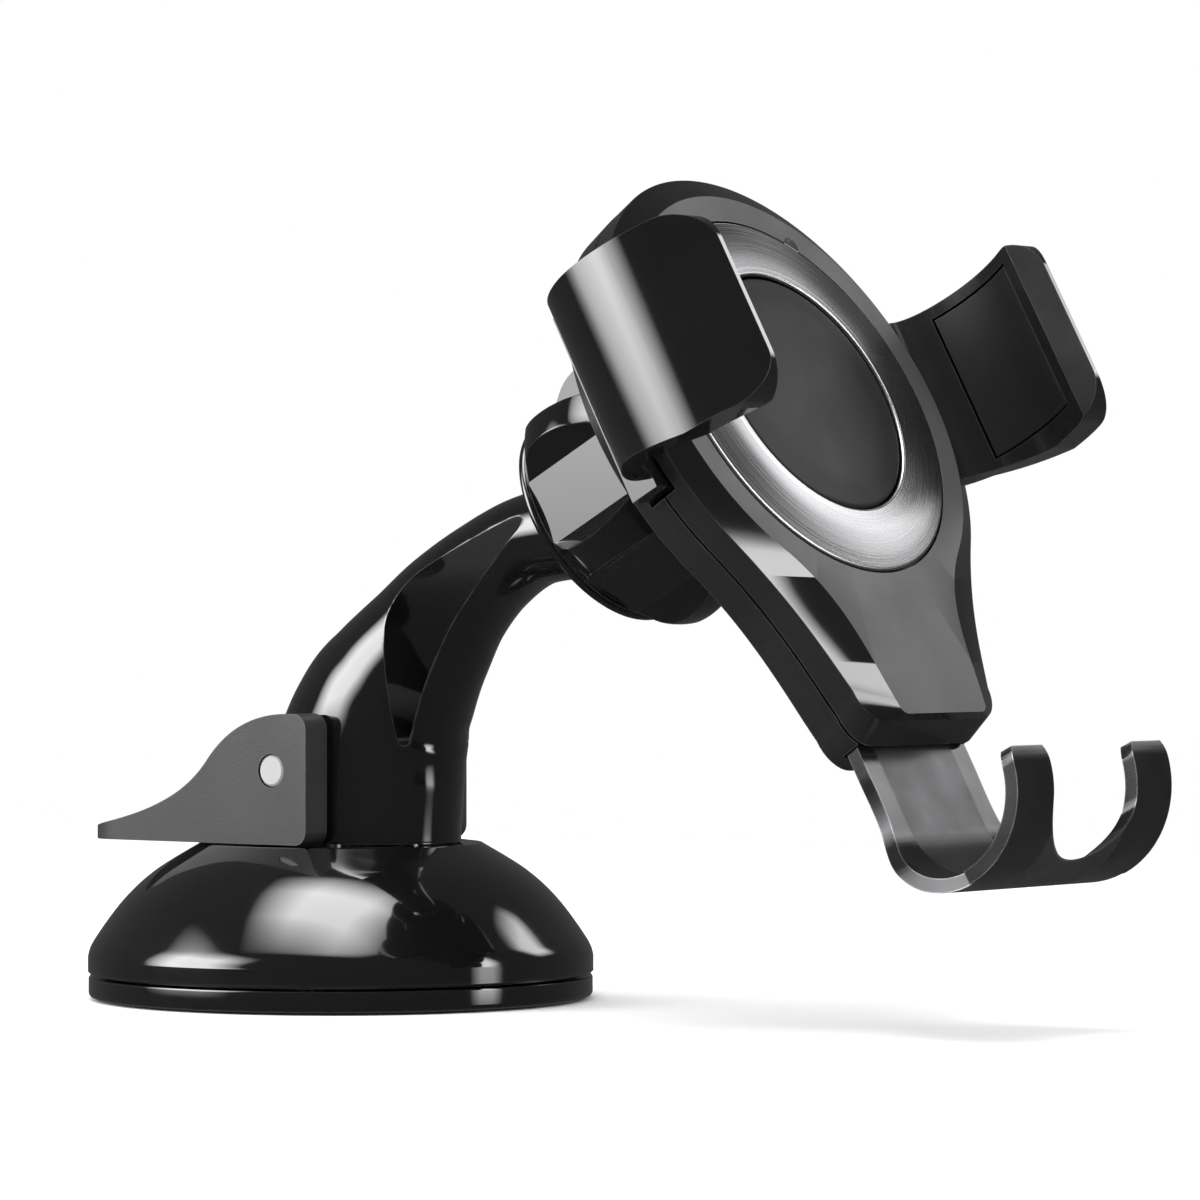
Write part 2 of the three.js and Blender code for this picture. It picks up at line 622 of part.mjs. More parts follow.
// the claw's section in X and Z, for the side where X is positive
function clawSection() {
  const shape = new THREE.Shape();
  shape.moveTo(35.6, CLAW_BACK);
  shape.bezierCurveTo(39.5, -6.9, 45, -2.6, 45.4, 4.4);
  shape.bezierCurveTo(45.6, 12, 42.5, 18.2, 37.4, 21.7);
  shape.lineTo(36.2, 17.4);
  clawInnerCurve(shape);
  shape.lineTo(34, RAIL_FRONT);
  shape.lineTo(34, CLAW_BACK);
  return shape;
}

// the claw's outline seen from the side, in Y and Z: narrower at the root than at the tip
function clawOutline() {
  const shape = new THREE.Shape();
  const corner = 5.5;
  const top = CLAW_TIP - corner;
  shape.moveTo(CLAW_BOTTOM + ROOT_TAPER, -10);
  shape.lineTo(CLAW_TOP, -10);
  shape.lineTo(CLAW_TOP, top);
  shape.absarc(CLAW_TOP - corner, top, corner, 0, Math.PI / 2, false);
  shape.absarc(CLAW_BOTTOM + corner, top, corner, Math.PI / 2, Math.PI, false);
  shape.lineTo(CLAW_BOTTOM, 9);
  shape.lineTo(CLAW_BOTTOM + ROOT_TAPER, -3);
  return shape;
}

function sectionPrism(shape, y0, y1, curveSegments) {
  const options = { depth: y1 - y0, bevelEnabled: false, curveSegments };
  const geometry = new THREE.ExtrudeGeometry(shape, options);
  geometry.rotateX(Math.PI / 2); // the shape's y now runs along Z, and the depth along -Y
  geometry.translate(0, y1, 0);
  return toSolid(geometry);
}

const LINER_MARGIN = 3.6; // liner's lower end, above the claw's lower edge

// the soft liner's section, let into the claw's inner face
function linerSection(clearance) {
  const shape = new THREE.Shape();
  const c = clearance;
  shape.moveTo(39.9 - 1.2 - c, 0.6 - c);
  shape.bezierCurveTo(40.9 - 0.4, 3.5, 40.4, 9.5, 37.9 - c, 14.9 + c);
  shape.lineTo(39.6 + c, 16 + c);
  shape.bezierCurveTo(42.2 + c, 10.5, 42.7 + c, 4, 41.3 + c, -0.2 - c);
  return shape;
}

function claw() {
  let piece = sectionPrism(clawSection(), CLAW_BOTTOM, CLAW_TOP, 9);
  piece = piece.intersect(crossPrism(clawOutline(), 30, 50, 6));
  const rail = box(25, 35.4, CLAW_BOTTOM, CLAW_TOP, RAIL_BACK, RAIL_FRONT);
  const tongue = box(4, 26, RACK_Y + DEDENDUM, 12, RAIL_SPLIT, RAIL_FRONT);
  piece = union([piece, rail, tongue]);
  for (let i = -3; i <= 1; i++) {
    piece = piece.add(prism(rackTooth(PINION_X + i * PITCH, RACK_Y), RAIL_SPLIT, RAIL_FRONT));
  }
  const seat = sectionPrism(linerSection(GAP), CLAW_BOTTOM + LINER_MARGIN - GAP, CLAW_TOP - 2 + GAP, 6);
  return piece.subtract(seat);
}

function clawLiner() {
  return sectionPrism(linerSection(0), CLAW_BOTTOM + LINER_MARGIN, CLAW_TOP - 2, 6)
    .subtract(sectionPrism(clawInside(), CLAW_BOTTOM, CLAW_TOP, 9));
}

// the space on the phone's side of the claw's inner face
function clawInside() {
  const shape = new THREE.Shape();
  shape.moveTo(36.2, 17.4);
  clawInnerCurve(shape);
  shape.lineTo(30, RAIL_FRONT);
  shape.lineTo(30, 17.4);
  return shape;
}

function mirrored(solid) {
  return solid.scale([-1, 1, 1]);
}

// the hook's side profile in Y and Z: a flat slide that bends forward into a J
function hookProfile() {
  const inner = BEND_Z - HOOK_FRONT;
  const end = -3 * Math.PI / 2 + THREE.MathUtils.degToRad(2);
  const shape = new THREE.Shape();
  shape.moveTo(-4, HOOK_BACK);
  shape.lineTo(BEND_Y, HOOK_BACK);
  shape.absarc(BEND_Y, BEND_Z, BEND_R, -Math.PI / 2, end, true);
  shape.absarc(BEND_Y, BEND_Z, inner, end, -Math.PI / 2, false);
  shape.lineTo(-4, HOOK_FRONT);
  return shape;
}

const PRONG_OUT = 18.3; // half widths over the prongs and between them
const PRONG_IN = 9.9;
const PRONG_ROUND = 3.6;
const WEB_EDGE = -73.8; // front edge of the web between the prongs

// the hook's outline from the front up to its bend: rack edges, plate, flare
function hookPlate() {
  const neck = RACK_X - DEDENDUM;
  const flare = new THREE.SplineCurve([
    new THREE.Vector2(HOOK_HALF, -53),
    new THREE.Vector2(HOOK_HALF + 0.2, -61),
    new THREE.Vector2(15.8, -68),
    new THREE.Vector2(PRONG_OUT, -76),
  ]).getPoints(8).map((p) => [p.x, p.y]);
  const right = [[neck, -4], [neck, -24], [HOOK_HALF, -26], ...flare];
  const left = right.map(([x, y]) => [-x, y]).reverse();
  return polygon([...right, ...left]);
}

// the prongs' outline from the front, with rounded tips
function hookProngs(side) {
  const shape = new THREE.Shape();
  const tip = BEND_Y + 1;
  const r = PRONG_ROUND;
  shape.moveTo(-side * 0.01, -80);
  shape.lineTo(side * PRONG_OUT, -80);
  shape.lineTo(side * PRONG_OUT, tip - r);
  shape.absarc(side * (PRONG_OUT - r), tip - r, r, side > 0 ? 0 : Math.PI, Math.PI / 2, side < 0);
  shape.absarc(side * (PRONG_IN + r), tip - r, r, Math.PI / 2, side > 0 ? Math.PI : 0, side < 0);
  shape.lineTo(side * PRONG_IN, -68.5);
  shape.bezierCurveTo(side * PRONG_IN, -72.5, side * 5, WEB_EDGE, -side * 0.01, WEB_EDGE);
  return shape;
}

function hook() {
  const slide = crossPrism(hookProfile(), -25, 25, 12);
  const behind = prism(hookPlate(), -12, BEND_Z);
  const tips = [-1, 1].map((side) => prism(hookProngs(side), BEND_Z - 0.5, 30));
  let piece = slide.intersect(union([behind, ...tips]));
  for (let i = -1; i <= 4; i++) { // teeth out to both sides, from above the contact point down
    for (const side of [-1, 1]) {
      const tooth = prism(rackTooth(0, 0), HOOK_BACK, HOOK_FRONT);
      piece = piece.add(tooth.rotate([0, 0, side * 90]).translate([side * RACK_X, PINION_Y - i * PITCH, 0]));
    }
  }
  return piece;
}

// ---------------------------------------------------------------- assembly
toMesh('suction_cup', suctionCup(), RUBBER, object);
toMesh('base_ring', baseRing(), GLOSS, object);
toMesh('base_plate', basePlate(), MATTE, object);
toMesh('base_dome', baseDome(), GLOSS, object);
DOME_SCREWS.forEach(([x, y], i) => {
  toMesh(`dome_screw_${i + 1}`, screw(x, y, 2.75, 8.5, 2.4, 0.6), STEEL, object);
});
ARM_SCREWS.forEach(([x, y], i) => {
  toMesh(`arm_screw_${i + 1}`, screw(x, y, 17.4, 11.5, 2.6, 1.9), STEEL, object);
});
toMesh('release_spring', coil(4.8, 1.1, 8.2, 18.6, 4), STEEL, object);
toMesh('arm', arm(), GLOSS, object);
toMesh('pull_rod', pullRod(), NYLON, object);
toMesh('lever', lever(), MATTE, object);
toMesh('lever_pin', crossRod(PIN_Y, PIN_Z, PIN_R, -LEVER_OUT, LEVER_OUT), METAL, object);
toMesh('lever_cam', cam(), STEEL, object);
toMesh('ball_stud', ballStud(), STEEL, head);
toMesh('ball_liner_inner', sphereRing(8.8, 9.7, 62, 98), NYLON, head);
toMesh('ball_liner_outer', sphereRing(10, 10.9, 40, 98), NYLON, head);
toMesh('lock_nut', lockNut(), GLOSS, head);
toMesh('rear_cover', rearCover(), GLOSS, head);
toMesh('front_cover', frontCover(), MATTE, head);
toMesh('metal_ring', metalRing(), METAL, head);
toMesh('center_pad', centerPad(), RUBBER, head);
COVER_SCREWS.forEach(([x, y], i) => {
  toMesh(`cover_screw_${i + 1}`, screw(x, y, BACK + 0.2, 7.2, 2, 0.9), STEEL, head);
});
toMesh('hook', hook(), SATIN, head);
const clawSolid = claw();
const linerSolid = clawLiner();
for (const [name, side] of [['left', -1], ['right', 1]]) {
  const sided = (solid) => (side < 0 ? mirrored(solid) : solid);
  toMesh(`${name}_claw`, sided(clawSolid), GLOSS, head);
  toMesh(`${name}_liner`, sided(linerSolid), RUBBER, head);
  const gear = toMesh(`${name}_pinion`, pinion(), NYLON, head);
  gear.position.set(side * PINION_X, PINION_Y, 0);
  const pin = toMesh(`${name}_pinion_pin`, rod(0, 0, 1.1, BACK + 1.1, -3, 16), STEEL, head);
  pin.position.set(side * PINION_X, PINION_Y, 0);
}

export default object;
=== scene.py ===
"""Looks for a suction phone mount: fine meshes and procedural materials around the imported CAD.

Shapes are written in millimetres, with +Z up, and turned into metres when a mesh is made. Head
pieces are written in the head's own frame, whose Z axis points out of its face.
"""
import json
import math

import bmesh
import bpy
from mathutils import Matrix, Vector

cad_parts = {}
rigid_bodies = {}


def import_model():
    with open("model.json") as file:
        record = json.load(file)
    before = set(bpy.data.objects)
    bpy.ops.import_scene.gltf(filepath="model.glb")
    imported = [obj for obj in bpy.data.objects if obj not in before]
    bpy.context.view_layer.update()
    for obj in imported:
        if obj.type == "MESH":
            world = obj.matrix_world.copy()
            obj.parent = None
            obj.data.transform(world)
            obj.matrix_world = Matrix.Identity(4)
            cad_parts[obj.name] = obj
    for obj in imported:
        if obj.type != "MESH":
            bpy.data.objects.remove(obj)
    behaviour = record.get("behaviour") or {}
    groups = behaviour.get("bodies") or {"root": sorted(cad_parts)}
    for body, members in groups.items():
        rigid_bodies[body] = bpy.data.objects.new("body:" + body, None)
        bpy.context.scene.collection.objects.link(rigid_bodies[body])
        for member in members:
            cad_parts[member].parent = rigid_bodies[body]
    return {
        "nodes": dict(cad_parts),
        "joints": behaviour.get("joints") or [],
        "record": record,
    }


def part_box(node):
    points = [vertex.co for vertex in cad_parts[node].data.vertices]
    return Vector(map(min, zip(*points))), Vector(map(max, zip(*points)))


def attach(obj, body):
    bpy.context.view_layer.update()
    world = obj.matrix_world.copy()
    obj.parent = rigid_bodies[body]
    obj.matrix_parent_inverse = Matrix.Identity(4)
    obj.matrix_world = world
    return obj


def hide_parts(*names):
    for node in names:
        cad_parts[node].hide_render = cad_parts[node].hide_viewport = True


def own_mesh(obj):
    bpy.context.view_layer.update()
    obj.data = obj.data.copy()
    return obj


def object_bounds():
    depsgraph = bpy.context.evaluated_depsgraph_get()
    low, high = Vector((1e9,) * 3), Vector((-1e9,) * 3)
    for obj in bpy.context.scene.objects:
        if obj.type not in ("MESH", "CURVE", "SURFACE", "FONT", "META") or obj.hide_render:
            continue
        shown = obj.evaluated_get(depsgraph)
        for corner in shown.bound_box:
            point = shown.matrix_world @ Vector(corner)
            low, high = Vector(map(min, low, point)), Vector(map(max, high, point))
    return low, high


for leftover in list(bpy.data.objects):
    bpy.data.objects.remove(leftover)
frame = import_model()
cad_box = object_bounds()

# ---------------------------------------------------------------- places taken from the frame
MM = 0.001
JOINTS = {joint["name"]: joint for joint in frame["joints"]}
BODY_OF = {node: body for body, nodes in frame["record"]["behaviour"]["bodies"].items() for node in nodes}


def millimetres(node):
    """The node's lowest and highest corners, in millimetres."""
    low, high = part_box(node)
    return low / MM, high / MM


GAP = 0.3
OVER = 1.0

BASE_R = millimetres("base_dome")[1].x
RING_TOP = millimetres("base_ring")[1].z
DOME_TOP = millimetres("base_dome")[1].z
DOME_FLAT_R = 20.1
DOME_WALL = 2.4

LEVER_OUT = millimetres("lever")[1].x
LEVER_TIP = millimetres("lever")[1].y
LEVER_BOTTOM = millimetres("lever")[0].z
CHEEK = 4.6
PIN_Y = JOINTS["lever_hinge"]["pos_m"][1] / MM
PIN_Z = JOINTS["lever_hinge"]["pos_m"][2] / MM
PIN_R = 2.2
WEB_Y = 15.4
ROD_R = 2.8

AXIS_Y = 2.0  # ball and nut axis in the head's frame
BALL_Z = -31.0
FORWARD = Vector(JOINTS["head_roll"]["axis"]).normalized()
HEAD = (
    Matrix.Translation(JOINTS["head_roll"]["pos_m"])
    @ Matrix.Rotation(math.atan2(-FORWARD.y, FORWARD.z), 4, "X")
    @ Matrix.Translation(Vector((0, -AXIS_Y, -BALL_Z)) * MM)
)
BODY_R = 34.7
FACE_R = 31.0
CHAMFER = 2.0
PARTING = -6.2
BACK = -11.1
END_Y = -48.0
RING_OUT = 26.8
RING_IN = 18.0
SEAT = -1.3
COLLAR_R = 12.4
COLLAR_END = -34.4
COLLAR_BORE = 11.2
NECK_R = 4.5
ARM_END = BALL_Z - 10.6
NUT_BACK = -38.0
NUT_FRONT = -21.0
PINION_X = 17.5
PINION_Y = -8.0
PITCH_R = 6.0
ADDENDUM = 0.7
DEDENDUM = 1.1
RACK_Y = PINION_Y + PITCH_R
RACK_X = PINION_X - PITCH_R
CLAW_TOP = 15.3
CLAW_BOTTOM = -12.2
CLAW_TIP = 21.2
CLAW_BACK = -7.2
ROOT_TAPER = 2.4
RAIL_FRONT = -4.3
RAIL_BACK = -8.7
RAIL_SPLIT = -6.5
HOOK_FRONT = -7.0
HOOK_BACK = -8.9
HOOK_HALF = 12.4
BEND_R = 13.2
BEND_Y = -61.2
BEND_Z = HOOK_BACK + BEND_R


# ---------------------------------------------------------------- curves
def arc(x, y, radius, start, end, steps):
    """Points of an arc from start to end degrees, both ends included."""
    angles = [math.radians(start + (end - start) * i / steps) for i in range(steps + 1)]
    return [(x + radius * math.cos(a), y + radius * math.sin(a)) for a in angles]


def bezier(p0, p1, p2, p3, steps=24):
    """Points of a cubic curve, both ends included."""
    points = []
    for i in range(steps + 1):
        t = i / steps
        weights = ((1 - t) ** 3, 3 * t * (1 - t) ** 2, 3 * t * t * (1 - t), t**3)
        points.append(tuple(sum(w * p[k] for w, p in zip(weights, (p0, p1, p2, p3))) for k in (0, 1)))
    return points


def between(values, t):
    """The Catmull-Rom value at t from the second value to the third."""
    a, b, c, d = values
    square = 2 * a - 5 * b + 4 * c - d
    cube = 3 * b - a - 3 * c + d
    return 0.5 * (2 * b + (c - a) * t + square * t * t + cube * t**3)


def spline(points, steps):
    """A smooth curve through every point, of any dimension."""
    last = len(points) - 1
    curve = []
    for i in range(steps + 1):
        place = last * i / steps
        k = min(int(place), last - 1)
        t = place - k
        near = (points[max(k - 1, 0)], points[k], points[k + 1], points[min(k + 2, last)])
        curve.append(tuple(between(values, t) for values in zip(*near)))
    return curve


# ---------------------------------------------------------------- meshes
def build(vertices, faces):
    """A closed mesh object, given in millimetres."""
    mesh = bpy.data.meshes.new("piece")
    mesh.from_pydata([Vector(v) * MM for v in vertices], [], faces)
    return bpy.data.objects.new("piece", face_outwards(mesh))


def face_outwards(mesh):
    """Turns every face to point out of the closed mesh."""
    shape = bmesh.new()
    shape.from_mesh(mesh)
    bmesh.ops.recalc_face_normals(shape, faces=shape.faces)
    shape.to_mesh(mesh)
    shape.free()
    return mesh


def shown(piece):
    """Puts the piece in the scene, once."""
    if piece.name not in bpy.context.scene.collection.objects:
        bpy.context.scene.collection.objects.link(piece)
    return piece


def loft(rings):
    """A closed skin through rings of equal length, capped at both ends."""
    count = len(rings[0])
    last = (len(rings) - 1) * count
    faces = [list(range(count)), list(range(last, last + count))]
    for row in range(0, last, count):
        for i in range(count):
            k = (i + 1) % count
            faces.append([row + i, row + k, row + count + k, row + count + i])
    return build([p for ring in rings for p in ring], faces)


def at(outline, z):
    """The outline's points at one height."""
    return [(x, y, z) for x, y in outline]


def prism(outline, z0, z1):
    """An outline in X and Y, from z0 to z1."""
    return loft([at(outline, z0), at(outline, z1)])


def cross_prism(outline, x0, x1):
    """An outline in Y and Z, from x0 to x1."""
    return loft([[(x, y, z) for y, z in outline] for x in (x0, x1)])


def section_prism(outline, y0, y1):
    """An outline in X and Z, from y0 to y1."""
    return loft([[(x, y, z) for x, z in outline] for y in (y0, y1)])


def box(x0, x1, y0, y1, z0, z1):
    return prism([(x0, y0), (x1, y0), (x1, y1), (x0, y1)], z0, z1)


def rod(x, y, radius, z0, z1, sides=64):
    return prism(arc(x, y, radius, 0, 360, sides)[:-1], z0, z1)


def cross_rod(y, z, radius, x0, x1, sides=64):
    return cross_prism(arc(y, z, radius, 0, 360, sides)[:-1], x0, x1)


def turned(profile, sides=192, loop=False):
    """A profile of (radius, z) points turned about Z. loop joins its ends."""
    vertices = []
    rows = []
    for radius, z in profile:
        count = sides if radius > 1e-6 else 1
        rows.append(list(range(len(vertices), len(vertices) + count)))
        angles = [2 * math.pi * i / sides for i in range(count)]
        vertices += [(radius * math.cos(a), radius * math.sin(a), z) for a in angles]
    pairs = list(zip(rows, rows[1:]))
    if loop:
        pairs.append((rows[-1], rows[0]))
    faces = []
    for low, high in pairs:
        for i in range(sides):
            k = (i + 1) % sides
            corners = [low[i % len(low)], low[k % len(low)], high[k % len(high)], high[i % len(high)]]
            faces.append(list(dict.fromkeys(corners)))
    return build(vertices, faces)


def bake(piece):
    """Applies the piece's modifiers."""
    bpy.context.view_layer.update()
    evaluated = piece.evaluated_get(bpy.context.evaluated_depsgraph_get())
    mesh = bpy.data.meshes.new_from_object(evaluated)
    piece.modifiers.clear()
    old = piece.data
    piece.data = mesh
    bpy.data.meshes.remove(old)
    return piece


def combine(piece, tools, operation):
    """Cuts, joins or keeps the common part, with each tool in turn."""
    for tool in tools:
        shown(piece)
        shown(tool)
        modifier = piece.modifiers.new("boolean", "BOOLEAN")
        modifier.operation = operation
        modifier.solver = "EXACT"
        modifier.object = tool
        bake(piece)
        bpy.data.objects.remove(tool)
    return piece


def cut(piece, *tools):
    return combine(piece, tools, "DIFFERENCE")


def join(piece, *tools):
    return combine(piece, tools, "UNION")


def common(piece, *tools):
    return combine(piece, tools, "INTERSECT")


def soften(piece, width, angle=28, segments=3):
    """Rounds the edges that are sharper than the angle."""
    shown(piece)
    modifier = piece.modifiers.new("edges", "BEVEL")
    modifier.width = width * MM
    modifier.segments = segments
    modifier.limit_method = "ANGLE"
    modifier.angle_limit = math.radians(angle)
    return bake(piece)


def mirrored(piece):
    """The piece turned into its own mirror image across X."""
    piece.data.transform(Matrix.Scale(-1, 4, (1, 0, 0)))
    face_outwards(piece.data)
    return piece


def smooth(piece, angle=32, weighted=True):
    """Smooth shading that keeps flat faces flat beside their rounded edges."""
    piece.data.shade_smooth()
    piece.data.set_sharp_from_angle(angle=math.radians(angle))
    if weighted:
        modifier = piece.modifiers.new("normals", "WEIGHTED_NORMAL")
        modifier.keep_sharp = True
    return piece


def stand_for(piece, node, finish, place=None):
    """Shows the piece instead of the CAD node, on the same body. No finish keeps the piece's own."""
    piece.name = node + "_look"
    piece.data.name = piece.name
    shown(piece)
    if place:
        piece.data.transform(place)
    if finish:
        piece.data.materials.clear()
        piece.data.materials.append(finish)
    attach(piece, BODY_OF[node])
    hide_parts(node)
    return piece


# ---------------------------------------------------------------- materials
MIX_A, MIX_B, MIX_RESULT = 6, 7, 2  # a Mix node's colour sockets
WEAR_RADIUS = 0.35
COAT_ROUGHNESS = 0.04
PALE_EDGE = (0.16, 0.16, 0.165)
GREY_EDGE = (0.2, 0.2, 0.205)


class Nodes:
    """A material's node tree, with short calls for the nodes used here."""

    def __init__(self, name, roughness, metallic=0.0):
        self.material = bpy.data.materials.new(name)
        self.material.use_nodes = True
        self.tree = self.material.node_tree
        self.shader = self.tree.nodes["Principled BSDF"]
        self.shader.inputs["Metallic"].default_value = metallic
        self.shader.inputs["Roughness"].default_value = roughness
        self.place = self.tree.nodes.new("ShaderNodeTexCoord").outputs["Object"]

    def link(self, output, target):
        self.tree.links.new(output, target)

    def noise(self, size_mm, detail=2.0, vector=None):
        node = self.tree.nodes.new("ShaderNodeTexNoise")
        node.inputs["Scale"].default_value = 1 / (size_mm * MM)
        node.inputs["Detail"].default_value = detail
        self.link(vector or self.place, node.inputs["Vector"])
        return node.outputs["Fac"]

    def ramp(self, value, stops):
        node = self.tree.nodes.new("ShaderNodeValToRGB")
        elements = node.color_ramp.elements
        while len(elements) < len(stops):
            elements.new(0.5)
        for element, (position, colour) in zip(elements, stops):
            element.position = position
            element.color = (*colour, 1)
        self.link(value, node.inputs["Fac"])
        return node.outputs["Color"]

    def scaled(self, value, low, high, from_low=0.3, from_high=0.7):
        node = self.tree.nodes.new("ShaderNodeMapRange")
        node.inputs["From Min"].default_value = from_low
        node.inputs["From Max"].default_value = from_high
        node.inputs["To Min"].default_value = low
        node.inputs["To Max"].default_value = high
        self.link(value, node.inputs["Value"])
        return node.outputs["Result"]

    def blend(self, amount, first, second):
        """Goes from the first colour to the second, which may be a plain (r, g, b)."""
        node = self.tree.nodes.new("ShaderNodeMix")
        node.data_type = "RGBA"
        self.link(amount, node.inputs["Factor"])
        self.link(first, node.inputs[MIX_A])
        if isinstance(second, tuple):
            node.inputs[MIX_B].default_value = (*second, 1)
        else:
            self.link(second, node.inputs[MIX_B])
        return node.outputs[MIX_RESULT]

    def calculate(self, operation, first, second=None):
        node = self.tree.nodes.new("ShaderNodeMath")
        node.operation = operation
        for socket, value in zip(node.inputs, (first, second)):
            if isinstance(value, (int, float)):
                socket.default_value = value
            elif value is not None:
                self.link(value, socket)
        return node.outputs["Value"]

    def bump(self, height, depth_mm, strength=0.5):
        node = self.tree.nodes.new("ShaderNodeBump")
        node.inputs["Strength"].default_value = strength
        node.inputs["Distance"].default_value = depth_mm * MM
        self.link(height, node.inputs["Height"])
        self.link(node.outputs["Normal"], self.shader.inputs["Normal"])

    def edge_wear(self, worn):
        """How much wear there is: none on faces, up to worn where the surface turns at an edge."""
        rounded = self.tree.nodes.new("ShaderNodeBevel")
        rounded.samples = 4
        rounded.inputs["Radius"].default_value = WEAR_RADIUS * MM
        geometry = self.tree.nodes.new("ShaderNodeNewGeometry")
        agree = self.tree.nodes.new("ShaderNodeVectorMath")
        agree.operation = "DOT_PRODUCT"
        self.link(rounded.outputs["Normal"], agree.inputs[0])
        self.link(geometry.outputs["Normal"], agree.inputs[1])
        raw = self.scaled(agree.outputs["Value"], worn, 0.0, 0.85, 0.985)
        return self.calculate("MULTIPLY", raw, self.scaled(self.noise(3, 4), 0.3, 1.0))


def shades(colour, spread):
    """A darker and a lighter tone of the colour."""
    return [tuple(c * (1 - spread) for c in colour), tuple(c * (1 + spread) for c in colour)]


def moulded(name, colour, roughness, grain_mm, grain_depth, spread=0.12, worn=0.25, coat=0.0,
            rough_spread=0.05, edge=PALE_EDGE):
    """Moulded or painted surface: mottled colour, worn edges, uneven roughness and a fine grain."""
    nodes = Nodes(name, roughness)
    dark, light = shades(colour, spread)
    base = nodes.ramp(nodes.noise(14, 3), [(0.3, dark), (0.7, light)])
    nodes.link(nodes.blend(nodes.edge_wear(worn), base, edge), nodes.shader.inputs["Base Color"])
    uneven = nodes.scaled(nodes.noise(9, 5), roughness - rough_spread, roughness + rough_spread)
    nodes.link(uneven, nodes.shader.inputs["Roughness"])
    nodes.bump(nodes.noise(grain_mm, 2), grain_depth)
    nodes.shader.inputs["Coat Weight"].default_value = coat
    nodes.shader.inputs["Coat Roughness"].default_value = COAT_ROUGHNESS
    return nodes.material


def spun_metal():
    """Metal turned on a lathe: rings of fine grooves and reflections drawn out across them."""
    nodes = Nodes("spun_metal", 0.27, 1.0)
    split = nodes.tree.nodes.new("ShaderNodeSeparateXYZ")
    nodes.link(nodes.place, split.inputs["Vector"])
    square = [nodes.calculate("POWER", split.outputs[axis], 2.0) for axis in ("X", "Y")]
    radius = nodes.calculate("SQRT", nodes.calculate("ADD", *square))
    join_up = nodes.tree.nodes.new("ShaderNodeCombineXYZ")
    nodes.link(radius, join_up.inputs["X"])
    grooves = nodes.noise(0.25, 3, join_up.outputs["Vector"])
    tone = nodes.ramp(grooves, [(0.3, (0.5, 0.5, 0.515)), (0.7, (0.68, 0.68, 0.69))])
    nodes.link(tone, nodes.shader.inputs["Base Color"])
    nodes.link(nodes.scaled(grooves, 0.2, 0.34), nodes.shader.inputs["Roughness"])
    nodes.bump(grooves, 0.02, 0.25)
    tangent = nodes.tree.nodes.new("ShaderNodeTangent")
    tangent.direction_type = "RADIAL"
    tangent.axis = "Z"
    nodes.link(tangent.outputs["Tangent"], nodes.shader.inputs["Tangent"])
    nodes.shader.inputs["Anisotropic"].default_value = 0.85
    return nodes.material


def brushed(name, colour, roughness):
    """Machined metal: a mottled tone with fine lines and scuffs."""
    nodes = Nodes(name, roughness, 1.0)
    dark, light = shades(colour, 0.1)
    tone = nodes.ramp(nodes.noise(2.5, 4), [(0.3, dark), (0.7, light)])
    nodes.link(tone, nodes.shader.inputs["Base Color"])
    scuffs = nodes.scaled(nodes.noise(1.2, 5), roughness - 0.08, roughness + 0.08)
    nodes.link(scuffs, nodes.shader.inputs["Roughness"])
    nodes.bump(nodes.noise(0.15, 2), 0.02, 0.3)
    return nodes.material


GLOSS = moulded("piano_black", (0.0045, 0.0045, 0.0048), 0.09, 6, 0.0008, coat=1.0, rough_spread=0.025)
FACE = moulded("matte_grey", (0.055, 0.055, 0.057), 0.42, 0.35, 0.03, edge=GREY_EDGE)
LEVER = moulded("lever_grey", (0.03, 0.03, 0.032), 0.46, 0.4, 0.035, edge=GREY_EDGE)
SATIN = moulded("satin_black", (0.012, 0.012, 0.0125), 0.24, 0.4, 0.008, coat=0.3)
RUBBER = moulded("black_rubber", (0.009, 0.009, 0.0095), 0.5, 0.3, 0.03, worn=0.1)
NYLON = moulded("nylon", (0.6, 0.58, 0.53), 0.5, 0.5, 0.02, edge=(0.7, 0.68, 0.63))
PIN = moulded("pin_grey", (0.36, 0.36, 0.365), 0.4, 0.4, 0.015, edge=(0.5, 0.5, 0.5))
SPUN = spun_metal()
STEEL = brushed("steel", (0.42, 0.43, 0.45), 0.3)


# ---------------------------------------------------------------- suction base
ARM_SCREWS = [(-8.5, -6.0), (8.5, -6.0)]
SCREW_HOLE_R = 1.4
DOME_FOOT_Z = 6.2
HOLE_FROM = 18
POCKET_DEPTH = 1.06
CUP_R = 31.0
CUP_EDGE = 0.6
HUB_TOP = 4.9


def base_dome():
    stations = [(BASE_R, DOME_FOOT_Z), (35.1, 8.4), (31.1, 13.9), (26.5, 18.2), (DOME_FLAT_R, DOME_TOP)]
    outer = spline(stations, 64)
    scale = (BASE_R - DOME_WALL) / BASE_R
    inner = [(r * scale, z - DOME_WALL) for r, z in spline(stations, 24)]
    bottom = RING_TOP + GAP
    foot = [(BASE_R - 0.35, bottom), (BASE_R, bottom + 0.35)]
    top = [(DOME_FLAT_R - 0.8, DOME_TOP)]
    dome = turned([(0, bottom), *foot, *outer, *top, (0, DOME_TOP)])
    hollow = turned([(0, 0), (BASE_R - DOME_WALL, 0), *inner, (0, DOME_TOP - DOME_WALL)])
    cut(dome, hollow, rod(0, 0, ROD_R + GAP + 0.2, HOLE_FROM, DOME_TOP + OVER))
    for x, y in ARM_SCREWS:
        cut(dome, rod(x, y, SCREW_HOLE_R, HOLE_FROM, DOME_TOP + OVER, 24))
    near = LEVER_OUT - CHEEK - GAP
    far = LEVER_OUT + 0.4
    for x0, x1 in ((-far, -near), (near, far)):
        cut(dome, box(x0, x1, PIN_Y - 7.2, PIN_Y + 5, DOME_TOP - POCKET_DEPTH, DOME_TOP + OVER))
    return smooth(dome)


